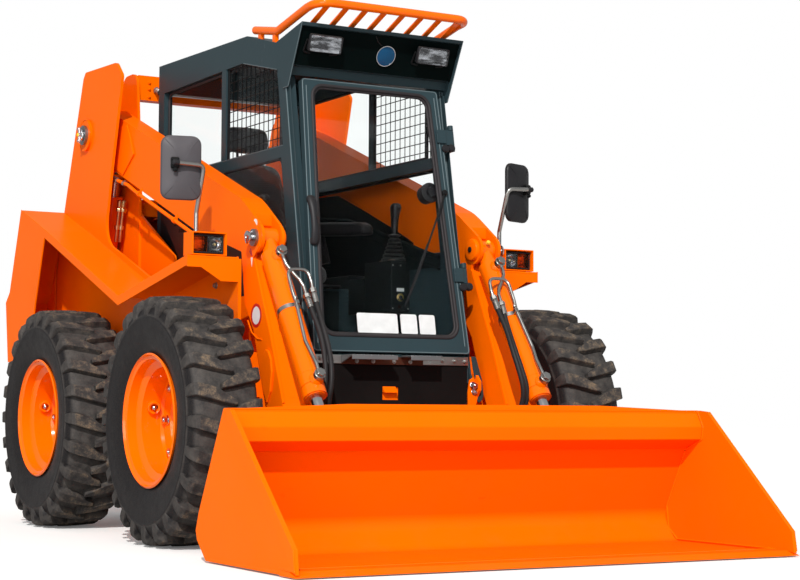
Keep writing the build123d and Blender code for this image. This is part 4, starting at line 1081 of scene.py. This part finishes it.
def mirror_head(name, turn, shell_finish):
    """A mirror's shell, with a raised cross on its back, its rim, its glass and its clamp."""
    side = HANDS[name]
    centre = Vector((750.0 * side, 68.0, 1386.0))
    swing = Matrix.Rotation(math.radians(turn) * side, 4, "Z")
    x_way, y_way = swing @ Vector((1, 0, 0)), swing @ Vector((0, 1, 0))

    def spot(x, y, z):
        place = centre + x_way * x + y_way * y
        return at(place.x, place.y, place.z + z)

    def section(width, height, corner, y):
        return [spot(u, y, v) for u, v in rounded(width, height, corner, 6)]

    shell = stretch([section(70, 114, 28, 15.5), section(76, 120, 34, 13), section(76, 120, 34, 4),
                     section(72, 116, 32, -2), section(34, 78, 20, -14), section(17, 40, 10, -15.6)])
    shell = [smooth(round_edges(shell, 1.4, 2, 25), 24)]
    for sx, sz in ((1, 1), (-1, 1), (-1, -1), (1, -1)):
        shell.append(tube([spot(sx * 14, -14.6, sz * 36), spot(sx * 34, -12.6, sz * 74),
                           spot(sx * 62, -3.8, sz * 104)], 1.3, rounds=1))
    show(f"mirror_shell_{name}", shell, shell_finish, "black_plastic", node="mirrors")
    show(f"mirror_glass_{name}", extruded(section(70, 114, 28, 15.0), y_way * 1.2, 0.4), MIRROR_GLASS)
    clamp = [solid([(-15, 9), (-11, 12), (11, 12), (15, 9)], spot(28 * side, -24, z), x_way, 20)
             for z in (4, 24)]
    jaw = spot(28 * side - 15, -32, -2)
    wide, deep = x_way * 30 * MM, y_way * 18 * MM
    clamp += [extruded([jaw, jaw + wide, jaw + wide + deep, jaw + deep], (0, 0, 32), 2.0),
              bolt(spot(28 * side, -30, -12), -y_way, 12, 7)]
    show(f"mirror_clamp_{name}", clamp, BLACK)


def mirrors():
    """Bent plated rods on rubber feet, and a mirror head on each."""
    for hand, side in HANDS.items():
        route = places(*((side * x, y, z) for x, y, z in (
            (675, 95, 1032), (675, 95, 1225), (675, 30, 1395), (792, 34, 1399))))
        collar = ring([(0, 9), (0, 19), (8, 20), (12, 13), (34, 11.5), (38, 9)], at(side * 675, 95, 1031),
                      (0, 0, 1), 28)
        show(f"mirror_rod_{hand}", [tube(route, 8.6, 26, rounds=4), collar], ZINC)
        show(f"rod_end_{hand}", ring([(-18, 9), (-18, 10.5), (3, 10.5), (6, 8), (6, 0), (-2, 0), (-2, 8.7)],
                                     at(side * 792, 34, 1399), (side, 0.03, 0.03), 20), PLASTIC)
        show(f"rod_screws_{hand}", [bolt(at(side * 675, 84, z), AHEAD, 13, 7) for z in (1112, 1132)], ZINC)
    # The right shell's lighter grey is painted sunlight; both shells are the same black plastic.
    mirror_head("right", 13.0, SUNLIT_GREY_PLASTIC)
    mirror_head("left", 20.5, PLASTIC)


turn_lamps()
mirrors()

# ---------------------------------------------------------------- operator's place
CLOTH_FRAMES = 20


def puffed(piece, pressure, cap):
    """Swells a closed pad by a short cloth run, holding each point within a distance."""
    finish_modifier(piece, "REMESH", mode="VOXEL", voxel_size=0.007)
    before = [vertex.co.copy() for vertex in piece.data.vertices]
    alone(piece)
    modifier = piece.modifiers.new("cloth", "CLOTH")
    modifier.settings.use_pressure = True
    modifier.settings.uniform_pressure_force = pressure
    modifier.settings.effector_weights.gravity = 0.0
    modifier.settings.quality = 6
    modifier.point_cache.frame_end = CLOTH_FRAMES
    for number in range(1, CLOTH_FRAMES + 1):
        bpy.context.scene.frame_set(number)
    bpy.ops.object.modifier_apply(modifier=modifier.name)
    bpy.context.scene.frame_set(1)
    for vertex, start in zip(piece.data.vertices, before):
        moved = vertex.co - start
        if moved.length > cap * MM:
            vertex.co = start + moved.normalized() * cap * MM
    finish_modifier(piece, "SUBSURF", levels=1, render_levels=1)
    return smooth(piece, 80)


def pad(name, rings, pressure=4.0, cap=12.0):
    """A cushion from rings of places, rounded, swollen and finished in cloth."""
    piece = finish_modifier(stretch(rings), "SUBSURF", levels=3, render_levels=3)
    piece = show(name, puffed(piece, pressure, cap), CLOTH, "seat_cover")
    return piece


def seat():
    """The seat: a crowned cushion, a curved back with side bolsters, and a headrest."""
    def oval(half, wider, front, front_middle, rear, rear_middle, centre, z):
        """A loop of eight places: corners, and the middle of each edge."""
        return places((-half, front, z), (0, front_middle, z), (half, front, z), (half + wider, centre, z),
                      (half, rear, z), (0, rear_middle, z), (-half, rear, z), (-half - wider, centre, z))

    def cushion_ring(half, front, rear, z):
        return oval(half, 4, front, front - 8, rear, rear + 2, (front + rear) / 2, z)

    def back_ring(half, low_y, high_y, z, bulge=0):
        return oval(half, 5, low_y - bulge, low_y + 4, high_y - 6, high_y, (low_y + high_y) / 2, z)

    cushion = pad("seat_cushion", [cushion_ring(*row) for row in (
        (172, 596, 970, 1018), (190, 578, 985, 1030), (192, 576, 985, 1070), (178, 590, 975, 1096),
        (110, 640, 930, 1102))])
    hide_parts("seat")
    pad("seat_back", [back_ring(*row) for row in (
        (150, 995, 1040, 1132), (176, 985, 1046, 1150, 6), (182, 994, 1062, 1280, 10),
        (178, 1012, 1088, 1420, 8), (160, 1032, 1108, 1540, 4), (120, 1048, 1112, 1584))])
    pad("seat_headrest", [back_ring(*row) for row in (
        (84, 1072, 1106, 1614), (100, 1064, 1110, 1628), (104, 1066, 1114, 1680), (96, 1070, 1116, 1722),
        (60, 1082, 1112, 1732))], cap=8.0)
    parts = [slab((-196, 566, 1002), (196, 1000, 1014), 5), slab((-168, 1012, 1006), (168, 1070, 1128), 10)]
    for side in (-1, 1):
        parts += [tube(in_side(side * 40, [(1092, 1560), (1094, 1650)]), 6),
                  tube(in_side(side * 205, [(600, 1004.5), (990, 1004.5)]), 3.8)]
    show("seat_frame", parts, *MOULDED)


def lever(name, side):
    """A joystick: stepped rubber bellows with its collar, and the shaped grip."""
    x, y, z = side * 298, 300, 1100
    rows = [(0, 0), (0, 53)]
    for number in range(6):
        along, wide = 3 + number * 16, 52.5 - number * 5.6
        rows += [(along, wide), (along + 5, wide + 1), (along + 8, wide - 1), (along + 12, wide - 9)]
    rows += [(97, 15), (100, 22), (104, 26), (108, 25), (111, 16), (114, 0)]
    show(f"lever_plate_{name}", slab((x - 45.5, y - 47, z), (x + 45.5, y + 47, z + 3), 1.5), EDGE_BROWN)
    show(f"lever_bellows_{name}", solid(rows, at(x, y, z), UP, 40), BELLOWS)

    def section(radius, height, shift_y=0.0, deep=1.0):
        return [at(x + radius * math.cos(turn), y + shift_y + radius * deep * math.sin(turn), z + height)
                for turn in (math.tau * i / 10 for i in range(10))]

    grip = stretch([section(*row) for row in (
        (13, 108), (15, 122), (15, 140, 0, 1.15), (16, 165, -1, 1.2), (18, 190, -3, 1.25), (22, 206, -6, 1.2),
        (24, 220, -8, 1.15), (22, 232, -10, 1.0), (12, 238, -10, 1.0))])
    finish_modifier(grip, "SUBSURF", levels=2, render_levels=2)
    button = solid([(0, 6), (3, 6), (4, 4)], at(x + 6, y - 33, z + 216), (0.1, -0.9, 0.3), 16)
    show(f"lever_grip_{name}", [smooth(grip, 70), button], *MOULDED, node="controls")


def console(name, side):
    """The box under a lever with its folded top, screws, and the arm rest behind it."""
    inner, outer = sorted((side * 254, side * 343))
    show(f"console_{name}", [slab((inner, 250, 893), (outer, 470, 1098), 4, 3),
                             slab((inner, 470, 893), (outer, 611, 1040), 4, 3),
                             slab((inner, 600, 1001), (outer, 900, 1060), 8, 3),
                             slab((inner - 0.5, 248, 1091), (outer + 0.5, 472, 1100), 2)],
         CONSOLE, "black_plastic")
    show(f"console_screws_{name}", [
        solid([(0, 4), (1.6, 3.4), (2, 0)], at(side * 298 + dx, 249, z), AHEAD, 12)
        for dx, z in ((-36, 1080), (36, 1080), (-36, 905), (36, 905), (0, 1080))], ZINC)
    rest = [(420, 1216), (430, 1258), (470, 1272), (820, 1300), (860, 1280), (850, 1244), (560, 1222)]
    stalk = [(760, 1120), (850, 1120), (900, 1262), (830, 1262)]
    x = side * 244
    show(f"arm_rest_{name}", [side_plate(rest, x - 27, x + 27, 12, 4), side_plate(stalk, x - 9, x + 9, 4)],
         *MOULDED)


def key_socket():
    """The key socket, the blank tag over it and the red lamp under it."""
    place = at(296, 247.5, 950)
    show("socket_ring", ring([(-1, 8), (-1, 16), (3, 16), (5, 13), (5, 8)], place, AHEAD, 28), GOLD)
    show("socket_core", solid([(0, 8), (3, 8), (3, 3), (1, 2)], place, AHEAD, 20), PLASTIC)
    show("socket_tag", slab((280, 247.4, 974), (314, 249.2, 988), 0.4), LABEL)
    show("red_lamp", solid([(0, 6), (3, 6), (6, 4), (7, 0)], at(292, 249, 912), AHEAD, 16), RED_LENS)


def cab_floor_and_sides():
    """Pedals, mat and seat box, the trim along the sills, and the shields outside them."""
    pedals = []
    for x in (-120, 120):
        plate = places((x - 44, -60, 720), (x + 44, -60, 720), (x + 44, 70, 752), (x - 44, 70, 752))
        pedals += [extruded(plate, (0, -2, 8), 2.5), tube(in_side(x, [(40, 750), (90, 720), (100, 684)]), 8, 20)]
    show("pedals", pedals, PLASTIC)
    show("floor_mat", slab((-330, -130, 680.5), (330, 600, 685), 2), MAT)
    show("seat_box", slab((-208, 606, 686), (208, 612, 990), 2), LINING)
    sill = [(-8, 1095), (148, 1138), (291, 1181), (423, 1216), (559, 1257), (760, 1310), (1100, 1345),
            (1186, 1345)]
    show("cab_side_trim", [
        side_plate([(-8, 1060), *sill, (1186, 1290), (1090, 1116), (1060, 1060)], 325, 329),
        tube(in_side(327, sill), 8, 30), tube(in_side(324, [(y, z - 44) for y, z in sill[:5]]), 5, 30)],
         LINING, twin=True)
    shield = [(250, 1060), (250, 1176), (405, 1243), (640, 1335), (900, 1432), (1186, 1445), (1186, 1060)]
    show("side_shield", side_plate(shield, 358, 361, 1.2), BLACK, twin=True)


seat()
for hand_name, hand_side in HANDS.items():
    lever(hand_name, hand_side)
    console(hand_name, hand_side)
key_socket()
cab_floor_and_sides()


# ---------------------------------------------------------------- step
def inside(x, y, loop):
    """True if a place lies inside a flat outline."""
    hit = False
    for (x1, y1), (x2, y2) in zip(loop, loop[1:] + loop[:1]):
        if (y1 > y) != (y2 > y) and x < (x2 - x1) * (y - y1) / (y2 - y1) + x1:
            hit = not hit
    return hit


def chequer(loop, z):
    """A tread with raised bars in pairs, crossed from one pair to the next."""
    low_x, high_x = min(x for x, _ in loop), max(x for x, _ in loop)
    parts = [extruded([at(x, y, z - 5) for x, y in loop], (0, 0, 5), 1.2)]
    for row, y in enumerate(range(-292, -220, 11)):
        x = low_x + 10 + (7 if row % 2 else 0)
        while x < high_x - 10:
            if inside(x, y, loop):
                slant = 5 if (row + int((x - low_x) / 15)) % 2 else -5
                parts.append(tube([at(x - 4, y - slant, z), at(x + 4, y + slant, z)], 1.7, rounds=1))
            x += 15
    return join(parts)


def front_step():
    """The bolted strip, the rusty middle, the two treads, the mat and the paint behind its cut-out."""
    show("step_strip", [slab((120, -214, 666), (330, -208, 698), 1.0),
                        slab((-330, -214, 666), (-215, -208, 698), 1.0)], ZINC, node="front_step")
    show("step_strip_middle", slab((-222, -216, 664), (128, -207.5, 693), 1.0), RUST)
    bolts = [bolt(at(x, -214, z), AHEAD, 13, 6)
             for x, z in ((-262, 684), (-310, 684), (216, 684), (268, 683), (316, 682))]
    bolts += [bolt(at(x, -216, 676), AHEAD, 11, 4) for x in (-160, -90, 0, 70)]
    show("step_bolts", bolts, ZINC)
    show("step_treads", [chequer([(26, -299), (157, -299), (207, -216), (26, -216)], 697),
                         chequer([(-224, -299), (-31, -299), (-31, -216), (-224, -216)], 697),
                         slab((26, -300, 680), (157, -296, 696), 1.2),
                         slab((-224, -300, 680), (-31, -296, 696), 1.2),
                         side_plate([(-299, 694), (-215, 694), (-215, 668)], -224, -219, 0.8)], STEEL)
    show("front_mat", [slab((left, -208, bottom), (right, -202.5, top), 1.0) for left, right, bottom, top in (
        (-329, -44, 421, 664), (25, 329, 421, 664), (-44.5, 25.5, 421, 533), (-44.5, 25.5, 581, 664))], MAT)
    show("mat_backing", slab((-60, -201.5, 520), (40, -198, 592), 1.0), *PAINTED)
    show("mat_wedge", side_plate([(-228, 560), (-202, 560), (-202, 590)], -44, 12), *PAINTED)
    lug_rows = [(338, 505), (352, 498), (372, 512), (380, 545), (376, 596), (360, 622), (344, 612),
                (336, 560)]
    foot_rows = [(352, 702), (372, 702), (400, 616), (408, 556), (401, 534), (388, 524), (374, 534),
                 (366, 560), (374, 600), (360, 655)]
    for name, rows, low_y, high_y, *finish in (("cab_mount_lug", lug_rows, -206, -194, *PAINTED),
                                               ("cab_mount_foot", foot_rows, -204, -196, SLATE)):
        plate = extruded([at(x, low_y, z) for x, z in rows], (0, high_y - low_y, 0), 3.0)
        show(name, plate, *finish, twin=True)
    show("cab_mount_nuts", [solid([(0, 14), (3, 14)], at(357, -206, 590), AHEAD, 20),
                            bolt(at(357, -209, 590), AHEAD, 21, 13), bolt(at(362, -206, 566), AHEAD, 17, 9)],
         CHROME, twin=True)


front_step()

# ---------------------------------------------------------------- arms
ARM_OUT, ARM_IN = -520.0, -428.0


def arm_details():
    """Welds, doublers, pins, tags and pipes of one arm, drawn on the machine's right."""
    out, inn, pipe_x = ARM_OUT, ARM_IN, ARM_OUT - 10
    doubler = [(1420, 1732), (1182, 1710), (1153, 1671), (1100, 1576), (1225, 1500), (1345, 1548),
               (1470, 1600)]
    cuff = [(-133, 1090), (-126, 1152), (-60, 1206), (-40, 1196), (-48, 1110), (-80, 1052)]
    leaf = [(-200, 712), (-172, 684), (-168, 640), (-186, 560), (-212, 518), (-240, 560), (-252, 630),
            (-243, 676), (-222, 706)]
    arch = [(-37, 822), (-70, 778), (-120, 752), (-156, 748)]
    pipe = [(1262, 1478), (1230, 1470), (1150, 1448), (1058, 1409), (800, 1312), (468, 1188), (250, 1128)]
    leg = [(-83, 1046), (-225, 759), (-328, 518)]
    painted = [side_plate(doubler, out - 5, out + 0.5), side_plate(cuff, out - 3, out + 0.5, 1.2),
               side_plate(leaf, out - 9, out + 0.5, 3.5, 3), tube(in_side(out - 1, arch), 3.0, 30),
               tube(in_side(pipe_x, pipe), 8.0, 40),
               solid([(0, 44), (8, 44), (14, 40), (16, 34)], at(inn - 0.5, *KNEE), LEFT, 40)]
    for y, z in ((1020, 1396), (640, 1252), (330, 1150)):
        painted += [ring([(-9, 8.2), (-9, 11.5), (9, 11.5), (9, 8.2)], at(pipe_x, y, z), (0, 0.94, 0.34), 20),
                    slab((out - 4, y - 9, z - 2), (out + 1, y + 9, z + 24), 1.5)]
    painted += [weld(in_side(out - 5, [(1180, 1711), *doubler[2:5]]), 3.0, 6.0),
                weld(in_side(out + 3, leg), 5.0, 8.0), weld(in_side(inn - 5, leg), 5.0, 8.0),
                weld(in_side(out + 1, [(60, 1291), (640, 1512)]), 2.4, 7.0)]
    union = [ferrule(*in_side(pipe_x, [(1262, 1478), (1318, 1494)]), 9.5),
             hexagon(at(pipe_x, 1180, 1456), (0, 0.95, 0.3), 24, 16)]
    spool = [solid([(0, 29), (3, 31), (7, 31), (9, 28), (9, 13), (30, 13), (30, 21), (33, 24), (37, 24),
                    (39, 21), (39, 8), (36, 6)], at(out + 0.5, *KNEE), RIGHT, 40),
             bolt(at(out - 9, KNEE[0] + 8, KNEE[1] + 20), RIGHT, 10, 6)]
    pin_cap = solid([(0, 11), (2, 12), (4, 11), (4, 4), (2, 3)], at(inn + 15.5, *KNEE), LEFT, 28)
    sign = at(out, -106, 838)
    discs = [solid([(0, 33.5), (0.8, 33.5)], sign, RIGHT, 48),
             solid([(0, 17), (0.8, 17)], at(out, -90, 1178), RIGHT, 32),
             side_plate([(-55, 1054), (-70, 1054), (-64, 1020)], out - 1.0, out, 0.3)]
    sign_edge = ring([(-0.2, 33), (-0.2, 44), (1.0, 44), (1.0, 33)], sign, RIGHT)
    tag = side_plate([(-63, 1098), (-42, 1078), (-63, 1056), (-86, 1076)], out - 1.2, out, 0.3)
    for name, pieces, *finish in (
            ("arm_trim", painted, *PAINTED), ("arm_pipe_union", union, ZINC),
            ("knee_pin_head", spool, CHROME), ("knee_pin_cap", pin_cap, BLACK), ("red_tag", tag, RED_RING),
            ("blank_discs", discs, LABEL), ("round_label_edge", sign_edge, RED_RING)):
        show_pair(name, pieces, *finish, body="arms")
    show("knee_grease_cap", solid([(-4, 8), (5, 8), (8, 5)], at(466, -143, 1152),
                                  (0, -0.86, 0.5), 16), GREASE_CAP, body="tilt_barrel_left")
    show("cross_tube_welds", [weld(ring_line(side * 427, -330, 400, 58), 3.2, 7.0) for side in (1, -1)],
         *GLOSSY, body="arms")


arm_details()


# ---------------------------------------------------------------- towers and frame
def tower_details():
    """Pivot fittings, welds, beam bolts and the pipes inside the towers."""
    y, z = 1562.0, 1711.0
    show("tower_trim", [weld(ring_line(575, y, z, 70), 2.6, 7.0),
                        weld(in_side(553, [(1620, 1970), (1842, 1385)]), 3.0, 8.0)], *PAINTED, twin=True)
    nipple = [(0, 24), (4, 26), (9, 24), (10, 12), (16, 11), (17, 0)]
    show("pivot_keeper", [solid(nipple, at(588, y, z), LEFT, 32),
                          slab((596, y - 8, z - 34), (606, y + 8, z + 34), 3),
                          bolt(at(598, y, z + 26), LEFT, 15, 8), bolt(at(598, y, z - 26), LEFT, 15, 8)],
         CHROME, twin=True)
    show("pivot_grease_cap", solid([(0, 8), (4, 8), (6, 5)], at(606, y, z), LEFT, 16),
         GREASE_CAP, twin=True)
    show("beam_bolts", [bolt(at(x, 1345, height), AHEAD, 11, 5)
                        for x in (-358, 358) for height in (1935, 1907, 1872)], *PAINTED)
    show("beam_unions", [ferrule(*in_side(x, [(1345, 1905), (1300, 1890)]), 11) for x in (-324, -300)], STEEL)
    pipes = []
    for x in (-474, -455):
        pipes += [tube(in_side(x, [(1427, 1228), (1412, 1290), (1392, 1360)]), 6.5, 20),
                  ferrule(*in_side(x, [(1392, 1360), (1380, 1405)]), 9.0),
                  solid([(-8, 12), (8, 12)], at(x, 1412, 1290), (0, -0.2, 0.98), 16)]
    show("tower_pipes", pipes, YELLOW_ZINC, twin=True)


def fender_details():
    """Folds, bolts and closing plates of the fenders, and the chain case's bolts."""
    line = [(-44, 1054), (634, 937), (1513, 1271), (1843, 1389)]
    rear = [(1843, 1389), (1986, 1022), (2036, 976), (1994, 703)]
    show("fender_folds", [tube(in_side(768, line), 2.0, 8), tube(in_side(768, rear), 2.0, 6),
                          weld(in_side(567, [(y, z + 1) for y, z in line[:3]]), 2.6, 8.0)],
         *PAINTED, twin=True)
    web = [(1840, 1386), (1984, 1020), (2033, 975), (1993, 704), (1925, 704), (1925, 1120), (1836, 1374)]
    show("fender_web", side_plate(web, 568.5, 572, 1.0), *PAINTED, twin=True)
    show("fender_bolts", [bolt(at(565.5, y, z), LEFT, 17, 8) for y, z in (
        (120, 800), (330, 760), (560, 740), (760, 740), (150, 960), (480, 900))], ZINC, twin=True)
    show("axle_bolts", [bolt(at(581.5, y + 80 * math.cos(angle), AXLE_Z + 80 * math.sin(angle)), LEFT, 17, 7)
                        for y in (0.0, WHEELBASE) for angle in (math.tau * (i + 0.5) / 8 for i in range(8))],
         ZINC, twin=True)


tower_details()
fender_details()


# ---------------------------------------------------------------- bucket
def bucket_details():
    """The folded top box, weld beads in the corners, and rolled edges."""
    inner = 958.0
    box = [(-800, 499), (-806, 497), (-838, 441), (-831, 394), (-738, 357), (-734, 362), (-790, 470)]
    show("bucket_top_box", side_plate(box, -inner, inner, 7.0, 3), *PAINTED, body="bucket")
    beads = [weld(places((-inner, -740, 357), (inner, -740, 357)), 3.2, 8.0),
             weld(places((-inner, -1221, 21), (inner, -1221, 21)), 2.6, 9.0)]
    for side in (1, -1):
        x = side * (inner - 1)
        beads += [weld(in_side(x, [(-812, 497), (-842, 441), (-835, 394), (-742, 355)]), 3.6, 8.0),
                  weld(in_side(x, [(-740, 351), (-630, 140), (-640, 60), (-690, 20), (-1215, 21)]), 4.2, 8.0),
                  weld(in_side(side * 970.5, [(-1256, 66), (-816, 477)]), 2.6, 9.0)]
    show("bucket_welds", beads, *GLOSSY, body="bucket")
    show("bucket_edges", [tube(in_side(side * 972, [(-862, 495), (-1307, 86), (-1318, 18)]), 2.2, 8)
                          for side in (1, -1)], *PAINTED, body="bucket")


# ---------------------------------------------------------------- rear
def rear_details():
    """Radiator core behind the door, latch, tail lamps and bolts."""
    core = [slab((-300, 1830, 620), (300, 1846, 990), 2)]
    core += [slab((-296 + 12 * n, 1846, 624), (-293 + 12 * n, 1852, 986), 0.3, 1) for n in range(50)]
    show("radiator", core, IRON)
    show("door_latch", [solid([(0, 20), (4, 20), (6, 16)], at(-355, 1977, 800), (0, 1, 0), 28),
                        slab((-361, 1982, 776), (-349, 1990, 824), 3)], PLASTIC, body="rear_door")
    for hand, side in HANDS.items():
        x = side * 668
        show(f"tail_lamp_{hand}", slab((x - 52, 2010, 800), (x + 52, 2031, 900), 4, 3), PLASTIC)
        show(f"tail_lens_{hand}", slab((x - 46, 2029, 806), (x - 4, 2036, 894), 3, 3), RED_LENS)
        show(f"tail_turn_lens_{hand}", slab((x + 4, 2029, 806), (x + 46, 2036, 894), 3, 3), AMBER)
    show("rear_frame_bolts", [bolt(at(x, 1941, z), (0, 1, 0), 17, 8) for x in (-520, 520)
                              for z in (640, 820, 1000)], ZINC)


bucket_details()
rear_details()


# ---------------------------------------------------------------- camera, light and floor
def lamp(name, kind, power, direction, **values):
    """A lamp that shines along a direction."""
    data = bpy.data.lights.new(name, kind)
    data.energy = power
    for key, value in values.items():
        setattr(data, key, value)
    holder = linked(name, data)
    holder.rotation_euler = Vector(direction).to_track_quat("-Z", "Y").to_euler()
    return holder


def studio():
    """A pale floor and world, white to the camera and softer as light, with a sun and a fill lamp."""
    bpy.ops.object.select_all(action="DESELECT")
    bpy.ops.mesh.primitive_plane_add(size=1, location=(0, 0, -0.001), scale=(1, 1, 1))
    floor = bpy.context.object
    floor.name = "floor"
    floor.data.transform(Matrix.Diagonal((60, 60, 1, 1)))
    finish, web, inputs = material("floor", (0.78, 0.78, 0.78), 0.85)
    seen = web.node("LightPath").outputs["Is Camera Ray"]
    web.feed(inputs["Base Color"], web.blend(seen, (0.55, 0.54, 0.53), (0.97, 0.97, 0.97)))
    inputs["Emission Color"].default_value = (1.0, 1.0, 1.0, 1)
    web.feed(inputs["Emission Strength"], web.times(seen, 0.10))
    floor.data.materials.append(finish)
    world = bpy.data.worlds.new("studio")
    bpy.context.scene.world = world
    world.use_nodes = True
    web = Web(world.node_tree)
    path = web.node("LightPath").outputs
    seen = web.maths("MAXIMUM", path["Is Camera Ray"], path["Is Transmission Ray"])
    background = world.node_tree.nodes["Background"].inputs
    background["Color"].default_value = (1.0, 1.0, 1.0, 1)
    web.feed(background["Strength"], web.remap(seen, 0.0, 1.0, 0.40, 1.0))
    lamp("key", "SUN", 3.4, (0.60, 0.95, -0.80), angle=math.radians(1.0), color=(1.0, 0.97, 0.93))
    place, aim = Vector((-4.5, -4.5, 2.0)), Vector((0, -0.2, 0.9))
    lamp("fill", "AREA", 110, aim - place, shape="DISK", size=3.0).location = place


def camera():
    azimuth, rise, roll = math.radians(-29.3), math.radians(3.52), math.radians(0.36)
    right = Vector((math.cos(azimuth), math.sin(azimuth), 0))
    ahead = Vector((-math.sin(azimuth) * math.cos(rise), math.cos(azimuth) * math.cos(rise), math.sin(rise)))
    up = right.cross(ahead)
    data = bpy.data.cameras.new("camera")
    data.sensor_width = 36.0
    data.lens = 81.52
    data.shift_x = 0.0399
    data.shift_y = 0.0063
    data.clip_end = 200
    holder = linked("camera", data)
    turn = Matrix((right * math.cos(roll) + up * math.sin(roll), up * math.cos(roll) - right * math.sin(roll),
                   -ahead)).transposed().to_4x4()
    holder.matrix_world = Matrix.Translation(at(-3405, -6082, 508)) @ turn
    bpy.context.scene.camera = holder


camera()
studio()
bpy.context.scene.view_settings.view_transform = "Standard"
